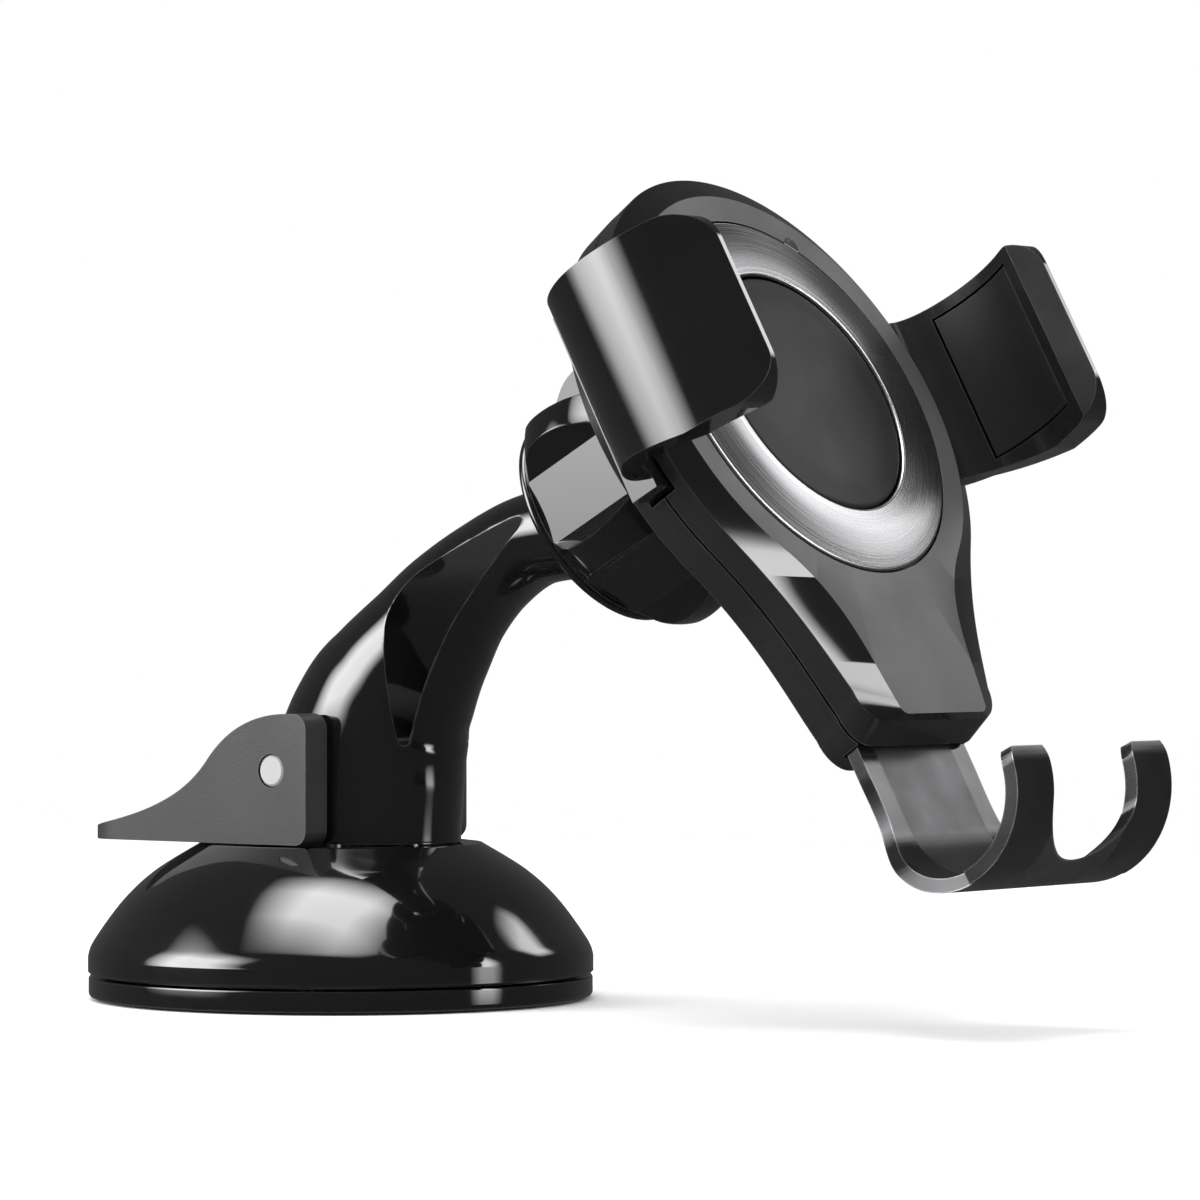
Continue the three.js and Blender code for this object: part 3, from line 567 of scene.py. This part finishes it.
def base_ring():
    profile = [(31.3, 0.35), (35.3, 0.35), (35.65, 0.5), (35.85, 0.8), (35.9, 1.1),
               (35.9, RING_TOP - 0.3), (35.8, RING_TOP - 0.08), (35.6, RING_TOP), (31.3, RING_TOP)]
    return smooth(turned(profile, loop=True))


def suction_cup():
    middle = CUP_R - CUP_EDGE
    rim = arc(middle, CUP_EDGE, CUP_EDGE, -90, 0, 6) + arc(middle, 1.8, CUP_EDGE, 0, 90, 6)
    groove = [(27.4, 2.4), (27.1, 2.2), (26.8, 2.4)]
    hub = spline([(10, 2.4), (8.4, 2.7), (7.6, 3.6), (7.2, HUB_TOP)], 12)
    return smooth(turned([(0, 0), *rim, *groove, *hub, (0, HUB_TOP)]), weighted=False)


stand_for(base_dome(), "base_dome", GLOSS)
stand_for(base_ring(), "base_ring", GLOSS)
cup = stand_for(suction_cup(), "suction_cup", RUBBER)
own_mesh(cup)

# ---------------------------------------------------------------- arm
ARM_HALF = LEVER_OUT - CHEEK - 0.6
WIDE = 30  # cutting tools reach this far past the pieces they cut
CAM_SLOT_HALF = 3.4
CAM_SLOT_TOP = 41.4
# y, z, half width across X, half thickness in the YZ plane
ARM_STATIONS = [
    (-4.3, 18, ARM_HALF, 14.4), (-4.5, 25, ARM_HALF, 14.4), (-5.6, 34, ARM_HALF, 14.2),
    (-8.3, 41, 12.2, 12.9), (-11.7, 45.9, 11.2, 11.3), (-15.9, 50.9, 9.8, 9.7), (-20.9, 56.3, 8.8, 8.2),
    (-27.4, 61.2, 8.1, 7), (-35.2, 65, 7.6, 6.5), (-44.6, 66.4, 7.4, 6.6),
]
WINDOW = [
    (-17.4, 36.3), (-16.9, 38), (-16.7, 43.9), (-16.1, 50.9), (-16.1, 54.6), (-17.8, 58),
    (-20.4, 60.4), (-25.4, 63), (-31, 65.6), (-37.4, 68.2), (-38.4, 66.8), (-35, 63.4),
    (-30.1, 58.6), (-25.7, 53.6), (-22.8, 48.9), (-20.2, 43.6), (-18.2, 38), (-17.9, 36.6),
    (-17.4, 36.3),
]


def arm_sweep(steps=108, sides=96):
    path = spline(ARM_STATIONS, steps)
    rings = []
    for i, (y, z, half_width, half_thick) in enumerate(path):
        before = path[max(i - 1, 0)]
        after = path[min(i + 1, steps)]
        along = Vector((0, after[0] - before[0], after[1] - before[1])).normalized()
        ring = []
        for j in range(sides):
            angle = 2 * math.pi * j / sides
            rise = half_thick * math.sin(angle)
            ring.append((half_width * math.cos(angle), y + along.z * rise, z - along.y * rise))
        rings.append(ring)
    return loft(rings)


def in_head(piece):
    """Moves a tool written in the head's frame to where the head is."""
    piece.data.transform(HEAD)
    return piece


def arm():
    piece = cut(arm_sweep(), box(-20, 20, -30, 20, 0, DOME_TOP + GAP))
    cut(piece, cross_prism(spline(WINDOW, 144)[:-1], -20, 20))
    cut(piece, in_head(box(-WIDE, WIDE, AXIS_Y - WIDE, AXIS_Y + WIDE, ARM_END, 0)))
    soften(piece, 0.45)
    cut(piece, box(-CAM_SLOT_HALF, CAM_SLOT_HALF, PIN_Y - 8.6, PIN_Y + 5.8, 0, CAM_SLOT_TOP))
    cut(piece, cross_rod(PIN_Y, PIN_Z, PIN_R + GAP, -20, 20))
    for x, y in ARM_SCREWS:
        cut(piece, rod(x, y, SCREW_HOLE_R, 0, 29.5, 24))
    cut(piece, in_head(rod(0, AXIS_Y, NECK_R + GAP, BALL_Z - 15, BALL_Z, 48)))
    return smooth(piece)


stand_for(arm(), "arm", GLOSS)


# ---------------------------------------------------------------- lever and its pin
def lever_profile():
    front = PIN_Y - 6.4
    top = 40.8
    nose = arc(front + 2.2, top - 2.2, 2.2, 180, 90, 10)
    hump = bezier((front + 2.2, top), (0.9, top + 0.2), (6.1, 38.6), (9.9, 34))
    paddle = bezier((9.9, 34), (13.9, 29.2), (20.9, 26.2), (LEVER_TIP - 0.3, 24.1))
    foot = [(LEVER_TIP, LEVER_BOTTOM + 0.5), (LEVER_TIP - 0.5, LEVER_BOTTOM)]
    heel = arc(front + 2, LEVER_BOTTOM + 2, 2, 270, 180, 10)
    return nose + hump[1:] + paddle[1:] + foot + heel


def lever_plan():
    corner = 6
    tip = LEVER_TIP + 0.1
    right = arc(LEVER_OUT - corner, tip - corner, corner, 0, 90, 12)
    left = arc(corner - LEVER_OUT, tip - corner, corner, 90, 180, 12)
    return [(-LEVER_OUT, -12), (LEVER_OUT, -12), *right, *left]


def lever():
    inner = LEVER_OUT - CHEEK
    piece = common(cross_prism(lever_profile(), -LEVER_OUT, LEVER_OUT), prism(lever_plan(), 20, 45))
    cut(piece, box(-inner, inner, -15, WEB_Y, 20, 45))
    soften(piece, 0.4, 40)
    cut(piece, cross_rod(PIN_Y, PIN_Z, PIN_R + GAP / 2, -20, 20))
    return smooth(piece)


def lever_pin():
    end = LEVER_OUT
    chamfer = 0.3
    head = [(PIN_R, end - chamfer), (PIN_R - chamfer, end), (0, end)]
    tail = [(radius, -z) for radius, z in reversed(head)]
    piece = turned(tail + head, 64)
    lay_across = Matrix.Rotation(math.pi / 2, 4, "Y")
    piece.data.transform(Matrix.Translation((0, PIN_Y * MM, PIN_Z * MM)) @ lay_across)
    return smooth(piece)


stand_for(lever(), "lever", LEVER)
stand_for(lever_pin(), "lever_pin", PIN)

# ---------------------------------------------------------------- head covers
COVER_SCREWS = [(-13, 24), (13, 24), (-22, -17.6), (22, -17.6)]
HOOK_SLOT = HOOK_HALF + 0.4
BOSS_R = 2.6
SCREW_HEAD_R = 2.3
PINION_HOLE_R = 1.3
FRONT_WALL = 2.7
REAR_WALL = 1.8


def head_outline(radius, leave_y, tail_half, end_y, bend, corner):
    """A circle that runs down into a waisted tail, listed counterclockwise."""
    leave = Vector((math.sqrt(radius**2 - leave_y**2), leave_y))
    along = Vector((leave.y, -leave.x)).normalized()
    tail = bezier(leave, leave + along * bend, (tail_half + bend * 0.16, end_y + 0.75 * bend),
                  (tail_half, end_y + corner), 32)
    side = tail[1:] + arc(tail_half - corner, end_y + corner, corner, 0, -90, 8)[1:]
    start = math.degrees(math.atan2(leave.y, leave.x))
    circle = arc(0, 0, radius, start, 180 - start, 144)
    flat = tail_half - corner
    end = [(flat * (i / 8 - 1), end_y) for i in range(1, 16)]
    return circle + [(-x, y) for x, y in side] + end + side[::-1]


def body_outline(inset, end_y=END_Y):
    return head_outline(BODY_R - inset, -21, 15.7 - inset, end_y, 13, 4.5)


def parting_outline():
    """The outline where the two covers meet."""
    return body_outline(0.5, END_Y - 1.6)


def rail_slots(z0, z1):
    """Tools for the openings that the claws' rails pass through."""
    sides = ((-40, -24), (24, 40))
    return [box(x0, x1, CLAW_BOTTOM - 0.5, CLAW_TOP + 0.5, z0, z1) for x0, x1 in sides]


def front_cover():
    face = head_outline(FACE_R, -23.4, 10, END_Y, 12, 1.5)
    seat = [tuple(Vector(p).normalized() * (RING_OUT + GAP)) for p in face]
    piece = loft([
        at(parting_outline(), PARTING + GAP / 2),
        at(body_outline(0), -CHAMFER),
        at(face, 0),
        at(seat, 0),
        at(seat, SEAT),
    ])
    cut(piece, box(-HOOK_SLOT, HOOK_SLOT, END_Y - 5, -40, PARTING - OVER, HOOK_FRONT + 0.9))
    cut(piece, *rail_slots(PARTING - OVER, RAIL_FRONT + GAP))
    soften(piece, 0.22, 20)
    cut(piece, prism(body_outline(2.2), PARTING - OVER, -FRONT_WALL))
    for x, y in COVER_SCREWS:
        join(piece, rod(x, y, BOSS_R, PARTING + 0.4, -2, 32))
        cut(piece, rod(x, y, SCREW_HOLE_R, PARTING - OVER, -3, 24))
    return smooth(piece)


def rear_cover():
    back = body_outline(1.3, END_Y - 2.6)
    piece = loft([at(back, BACK), at(parting_outline(), PARTING - GAP / 2)])
    cut(piece, box(-HOOK_SLOT, HOOK_SLOT, END_Y - 8, -40, HOOK_BACK - GAP, 0))
    cut(piece, *rail_slots(RAIL_BACK - GAP, 0))
    join(piece, rod(0, AXIS_Y, COLLAR_R + 2.4, NUT_FRONT + 1, BACK + 0.5, 128))
    join(piece, rod(0, AXIS_Y, COLLAR_R, COLLAR_END, BACK + 0.5, 128))
    soften(piece, 0.3, 25)
    cut(piece, prism(body_outline(2.6), BACK + REAR_WALL, 0))
    cut(piece, rod(0, AXIS_Y, COLLAR_BORE, COLLAR_END - OVER, BACK - 2, 96))
    for x, y in COVER_SCREWS:
        join(piece, rod(x, y, BOSS_R, BACK + 1, PARTING - 0.2, 32))
        cut(piece, rod(x, y, SCREW_HOLE_R, BACK - OVER, 0, 24))
        cut(piece, rod(x, y, SCREW_HEAD_R, BACK - OVER, BACK + 1.3, 32))
    for side in (-1, 1):
        cut(piece, rod(side * PINION_X, PINION_Y, PINION_HOLE_R, BACK + 0.8, 0, 24))
    return smooth(piece)


def metal_ring():
    bottom = SEAT + GAP
    crest = spline([(26.5, 0.25), (24.4, 0.62), (21.6, 0.98), (19.2, 1.18)], 24)
    lip = arc(RING_IN + 0.45, 0.75, 0.45, 75, 180, 8)
    rim = [(RING_IN, bottom), (RING_OUT, bottom), (RING_OUT, -0.05), (RING_OUT - 0.12, 0.12)]
    return smooth(turned([*rim, *crest, *lip], 256, loop=True))


def center_pad():
    radius = RING_IN - GAP
    bottom = SEAT + GAP
    edge = arc(radius - 0.7, 0.35, 0.7, 0, 78, 8)
    crown = spline([(radius - 1.4, 1.16), (13, 1.6), (8, 1.82), (3, 1.89), (0, 1.9)], 32)
    return smooth(turned([(0, bottom), (radius, bottom), *edge, *crown], 192))


def paint_cover(piece):
    """Satin sides, a gloss chamfer and a matte face."""
    for finish in (SATIN, GLOSS, FACE):
        piece.data.materials.append(finish)
    for polygon in piece.data.polygons:
        proud = polygon.center.z > (-CHAMFER - 0.1) * MM
        facing = polygon.normal.z
        if not proud or facing < 0.3:
            polygon.material_index = 0
        elif facing <= 0.97:
            polygon.material_index = 1
        else:
            polygon.material_index = 2


cover = front_cover()
paint_cover(cover)
stand_for(cover, "front_cover", None, HEAD)
stand_for(rear_cover(), "rear_cover", SATIN, HEAD)
for maker, node, finish, slot in (
    (metal_ring, "metal_ring", SPUN, "spun_metal"),
    (center_pad, "center_pad", RUBBER, "black_rubber"),
):
    disc = maker()
    disc.matrix_world = HEAD
    stand_for(disc, node, finish)

# ---------------------------------------------------------------- lock nut
NUT_HOLE = 7.8
FLANGE_R = 15.9
GRIPS = 6
GRIP_FLOOR = 14.9
GRIP_HALF = 4.75


def lock_nut():
    bore = COLLAR_R + GAP
    inside = NUT_BACK + 1.8
    flange = arc(FLANGE_R - 0.65, NUT_BACK + 0.65, 0.65, -90, 75, 10)
    waist = (FLANGE_R - 0.3, NUT_BACK + 1.6)
    bulge = spline([waist, (18.9, -33.2), (19.8, -29.4), (19, -25.2), (16.4, NUT_FRONT)], 48)
    hollow = [(bore, NUT_FRONT), (bore, inside), (NUT_HOLE, inside)]
    nut = turned([(NUT_HOLE, NUT_BACK), *flange, *bulge, *hollow], 192, loop=True)
    rise = 8
    grip = [
        (-GRIP_HALF, GRIP_FLOOR),
        (GRIP_HALF, GRIP_FLOOR),
        (GRIP_HALF + rise, GRIP_FLOOR + rise),
        (-GRIP_HALF - rise, GRIP_FLOOR + rise),
    ]
    for i in range(GRIPS):
        tool = prism(grip, NUT_BACK + 1.5, NUT_FRONT + OVER)
        tool.data.transform(Matrix.Rotation(2 * math.pi * (i + 0.5) / GRIPS, 4, "Z"))
        cut(nut, tool)
    soften(nut, 0.25, 25)
    nut.data.transform(Matrix.Translation((0, AXIS_Y * MM, 0)))
    return smooth(nut)


stand_for(lock_nut(), "lock_nut", GLOSS, HEAD)

# ---------------------------------------------------------------- claws
TOOTH_TIP = 0.45
TOOTH_ROOT = 0.95
PITCH = math.pi
LINER_MARGIN = 3.6


def rack_tooth(x, y):
    """A tooth that points to -Y, with its pitch line at y."""
    root = y + DEDENDUM + 0.2
    tip = y - ADDENDUM
    return [(x - TOOTH_ROOT, root), (x - TOOTH_TIP, tip), (x + TOOTH_TIP, tip), (x + TOOTH_ROOT, root)]


def claw_inner():
    upper = bezier((36.2, 17.4), (39, 13.5), (40.6, 9), (40.5, 4.2), 32)
    lower = bezier((40.5, 4.2), (40.4, -0.5), (38.6, RAIL_FRONT), (35.4, RAIL_FRONT), 24)
    return upper + lower[1:]


def claw_section():
    outer = bezier((35.6, CLAW_BACK), (39.5, -6.9), (45, -2.6), (45.4, 4.4), 32)
    tip = bezier((45.4, 4.4), (45.6, 12), (42.5, 18.2), (37.4, 21.7), 32)
    return outer + tip[1:] + claw_inner() + [(34, RAIL_FRONT), (34, CLAW_BACK)]


def claw_side():
    corner = 5.5
    top = CLAW_TIP - corner
    rear = arc(CLAW_TOP - corner, top, corner, 0, 90, 14)
    front = arc(CLAW_BOTTOM + corner, top, corner, 90, 180, 14)
    return [(CLAW_BOTTOM + ROOT_TAPER, -10), (CLAW_TOP, -10), *rear, *front, (CLAW_BOTTOM, 9),
            (CLAW_BOTTOM + ROOT_TAPER, -3)]


def liner_section(clearance):
    c = clearance
    lower = bezier((38.7 - c, 0.6 - c), (40.5, 3.5), (40.4, 9.5), (37.9 - c, 14.9 + c), 24)
    upper = bezier((39.6 + c, 16 + c), (42.2 + c, 10.5), (42.7 + c, 4), (41.3 + c, -0.2 - c), 24)
    return lower + upper


def claw():
    piece = section_prism(claw_section(), CLAW_BOTTOM, CLAW_TOP)
    common(piece, cross_prism(claw_side(), 30, 50))
    cut(piece, section_prism(liner_section(GAP), CLAW_BOTTOM + LINER_MARGIN - GAP, CLAW_TOP - 2 + GAP))
    soften(piece, 0.35, 25)
    join(piece, box(25, 35.4, CLAW_BOTTOM, CLAW_TOP, RAIL_BACK, RAIL_FRONT))
    join(piece, box(4, 26, RACK_Y + DEDENDUM, 12, RAIL_SPLIT, RAIL_FRONT))
    for i in range(-3, 2):
        join(piece, prism(rack_tooth(PINION_X + i * PITCH, RACK_Y), RAIL_SPLIT, RAIL_FRONT))
    return piece


def claw_liner():
    piece = section_prism(liner_section(0), CLAW_BOTTOM + LINER_MARGIN, CLAW_TOP - 2)
    inside = claw_inner() + [(30, RAIL_FRONT), (30, 17.4)]
    cut(piece, section_prism(inside, CLAW_BOTTOM, CLAW_TOP))
    return soften(piece, 0.12, 25)


def paint_claw(piece):
    """Satin on the inner face that holds the phone, gloss elsewhere."""
    piece.data.materials.append(GLOSS)
    piece.data.materials.append(SATIN)
    for polygon in piece.data.polygons:
        inner = polygon.normal.x < -0.15 and polygon.center.x > 35.2 * MM
        polygon.material_index = int(inner and abs(polygon.normal.y) < 0.5)


for side in ("left", "right"):
    shell = claw()
    paint_claw(shell)
    pad = claw_liner()
    if side == "left":
        mirrored(shell)
        mirrored(pad)
    stand_for(smooth(shell), side + "_claw", None, HEAD)
    stand_for(smooth(pad), side + "_liner", RUBBER, HEAD)

# ---------------------------------------------------------------- hook
PRONG_OUT = 18.3
PRONG_IN = 9.9
PRONG_ROUND = 3.6
WEB_EDGE = -73.8
BAND_FROM = 8.6


def hook_profile():
    inner = BEND_Z - HOOK_FRONT
    outside = arc(BEND_Y, BEND_Z, BEND_R, -90, -268, 64)
    inside = arc(BEND_Y, BEND_Z, inner, -268, -90, 64)
    return [(-4, HOOK_BACK), *outside, *inside, (-4, HOOK_FRONT)]


def hook_plate():
    neck = RACK_X - DEDENDUM
    flare = spline([(HOOK_HALF, -53), (HOOK_HALF + 0.2, -61), (15.8, -68), (PRONG_OUT, -76)], 30)
    right = [(neck, -4), (neck, -24), (HOOK_HALF, -26), *flare]
    return right + [(-x, y) for x, y in reversed(right)]


def hook_prong(side):
    tip = BEND_Y + 1
    r = PRONG_ROUND
    outer = arc(PRONG_OUT - r, tip - r, r, 0, 90, 12)
    inner = arc(PRONG_IN + r, tip - r, r, 90, 180, 12)
    web = bezier((PRONG_IN, -68.5), (PRONG_IN, -72.5), (5, WEB_EDGE), (-0.01, WEB_EDGE), 20)
    outline = [(-0.01, -80), (PRONG_OUT, -80), *outer, *inner, *web]
    return [(side * x, y) for x, y in outline]


def hook():
    outline = prism(hook_plate(), -12, BEND_Z)
    for side in (-1, 1):
        join(outline, prism(hook_prong(side), BEND_Z - 0.5, 30))
    piece = common(cross_prism(hook_profile(), -25, 25), outline)
    soften(piece, 0.3, 30)
    for i in range(-1, 5):
        for side in (-1, 1):
            tooth = prism(rack_tooth(0, 0), HOOK_BACK, HOOK_FRONT)
            turn = Matrix.Rotation(side * math.pi / 2, 4, "Z")
            place = Matrix.Translation(Vector((side * RACK_X, PINION_Y - i * PITCH, 0)) * MM)
            tooth.data.transform(place @ turn)
            join(piece, tooth)
    return smooth(piece)


def hook_finish():
    """Satin metal down the middle of the plate, between two polished dark bands."""
    nodes = Nodes("gunmetal_banded", 0.22, 0.75)
    split = nodes.tree.nodes.new("ShaderNodeSeparateXYZ")
    nodes.link(nodes.place, split.inputs["Vector"])
    across = nodes.calculate("ABSOLUTE", split.outputs["X"])
    band = nodes.scaled(across, 0.0, 1.0, BAND_FROM * MM, (BAND_FROM + 0.4) * MM)
    mottle = nodes.noise(8, 4)
    middle = nodes.ramp(mottle, [(0.3, (0.06, 0.06, 0.063)), (0.7, (0.08, 0.08, 0.084))])
    polished = nodes.ramp(mottle, [(0.3, (0.03, 0.03, 0.032)), (0.7, (0.045, 0.045, 0.047))])
    worn = nodes.ramp(mottle, [(0.3, (0.4, 0.4, 0.41)), (0.7, (0.5, 0.5, 0.51))])
    plate = nodes.blend(band, middle, polished)
    nodes.link(nodes.blend(nodes.edge_wear(0.5), plate, worn), nodes.shader.inputs["Base Color"])
    satin = nodes.scaled(nodes.noise(6, 5), 0.26, 0.34)
    smoother = nodes.calculate("MULTIPLY", band, 0.16)
    nodes.link(nodes.calculate("SUBTRACT", satin, smoother), nodes.shader.inputs["Roughness"])
    nodes.bump(nodes.noise(0.3, 2), 0.012, 0.4)
    return nodes.material


stand_for(hook(), "hook", hook_finish(), HEAD)

# ---------------------------------------------------------------- finishes of the CAD nodes that stay
KEPT = {
    "base_plate": SATIN,
    "pull_rod": NYLON,
    "lever_cam": STEEL,
    "release_spring": STEEL,
    "ball_stud": STEEL,
    "ball_liner_inner": NYLON,
    "ball_liner_outer": NYLON,
}
for name, node in frame["nodes"].items():
    if name in KEPT or "screw" in name or "pinion" in name:
        finish = KEPT.get(name, NYLON if name.endswith("pinion") else STEEL)
        for material_slot in node.material_slots:
            material_slot.material = finish

# ---------------------------------------------------------------- floor, lights and camera
AZIMUTH = math.radians(-52.29)
LOOK = Vector((-math.sin(AZIMUTH), math.cos(AZIMUTH), 0))
RIGHT = Vector((math.cos(AZIMUTH), math.sin(AZIMUTH), 0))
UP = Vector((0, 0, 1))
MIDDLE = (cad_box[0] + cad_box[1]) / 2
FLOOR_HALF = 450
LENS = 167.2
SENSOR = 36
EYE = (-0.6065, -0.5156, 0.0567)


def flat_panel(x, y):
    """A flat panel around the origin, given its half sizes."""
    return build([(-x, -y, 0), (x, -y, 0), (x, y, 0), (-x, y, 0)], [[0, 1, 2, 3]])


def floor():
    piece = flat_panel(FLOOR_HALF, FLOOR_HALF)
    piece.name = "floor"
    shown(piece)
    nodes = Nodes("pale_floor", 0.6)
    shade = nodes.ramp(nodes.noise(90, 2), [(0.3, (0.9, 0.9, 0.9)), (0.7, (0.92, 0.92, 0.92))])
    nodes.link(shade, nodes.shader.inputs["Base Color"])
    nodes.shader.inputs["Specular IOR Level"].default_value = 0.1
    piece.data.materials.append(nodes.material)
    piece.visible_glossy = False


def softbox(name, right, up, nearer, width, height, brightness, core=0.35):
    """A glowing panel that fades to its edges, placed from the object's middle as the camera sees it."""
    panel = flat_panel(width / 2 / MM, height / 2 / MM)
    panel.name = name
    shown(panel)
    where = MIDDLE + RIGHT * right + UP * up - LOOK * nearer
    aim = (MIDDLE - where).to_track_quat("-Z", "Y").to_matrix().to_4x4()
    panel.matrix_world = Matrix.Translation(where) @ aim
    nodes = Nodes(name, 1.0)
    split = nodes.tree.nodes.new("ShaderNodeSeparateXYZ")
    nodes.link(nodes.place, split.inputs["Vector"])
    glow = brightness
    for axis, half in (("X", width / 2), ("Y", height / 2)):
        across = nodes.calculate("ABSOLUTE", split.outputs[axis])
        fade = nodes.scaled(across, 1.0, 0.0, core * half, half)
        glow = nodes.calculate("MULTIPLY", glow, fade)
    nodes.link(glow, nodes.shader.inputs["Emission Strength"])
    nodes.shader.inputs["Emission Color"].default_value = (1, 1, 1, 1)
    nodes.shader.inputs["Base Color"].default_value = (0, 0, 0, 1)
    nodes.shader.inputs["Specular IOR Level"].default_value = 0
    panel.data.materials.append(nodes.material)
    panel.visible_camera = False
    panel.visible_shadow = False


def world():
    """White behind the object, dim where it is only reflected."""
    sky = bpy.data.worlds.new("studio")
    sky.use_nodes = True
    tree = sky.node_tree
    seen = tree.nodes.new("ShaderNodeLightPath").outputs
    shade = tree.nodes["Background"]
    shade.inputs["Color"].default_value = (0.8, 0.8, 0.8, 1)
    white = tree.nodes.new("ShaderNodeBackground")
    mirror = tree.nodes.new("ShaderNodeBackground")
    mirror.inputs["Color"].default_value = (0.07, 0.07, 0.072, 1)
    first = tree.nodes.new("ShaderNodeMixShader")
    second = tree.nodes.new("ShaderNodeMixShader")
    tree.links.new(seen["Is Glossy Ray"], first.inputs["Fac"])
    tree.links.new(shade.outputs[0], first.inputs[1])
    tree.links.new(mirror.outputs[0], first.inputs[2])
    tree.links.new(seen["Is Camera Ray"], second.inputs["Fac"])
    tree.links.new(first.outputs[0], second.inputs[1])
    tree.links.new(white.outputs[0], second.inputs[2])
    tree.links.new(second.outputs[0], tree.nodes["World Output"].inputs["Surface"])
    white.inputs["Color"].default_value = (1, 1, 1, 1)
    bpy.context.scene.world = sky


def camera():
    lens = bpy.data.cameras.new("camera")
    lens.lens = LENS
    lens.sensor_width = SENSOR
    eye = bpy.data.objects.new("camera", lens)
    eye.location = EYE
    eye.rotation_euler = (math.pi / 2, 0, AZIMUTH)
    bpy.context.scene.collection.objects.link(eye)
    bpy.context.scene.camera = eye


floor()
world()
camera()
softbox("key_left", -1.0, 0.4, 0.3, 1.1, 1.1, 9)
softbox("strip_right", 0.9, 0.3, 0.3, 0.35, 1.2, 7)
softbox("overhead", -0.1, 1.2, 0.2, 1.2, 1.1, 8)
softbox("face_light", 0.95, 0.62, -0.5, 0.4, 0.6, 4)
bpy.context.scene.view_settings.view_transform = "Standard"
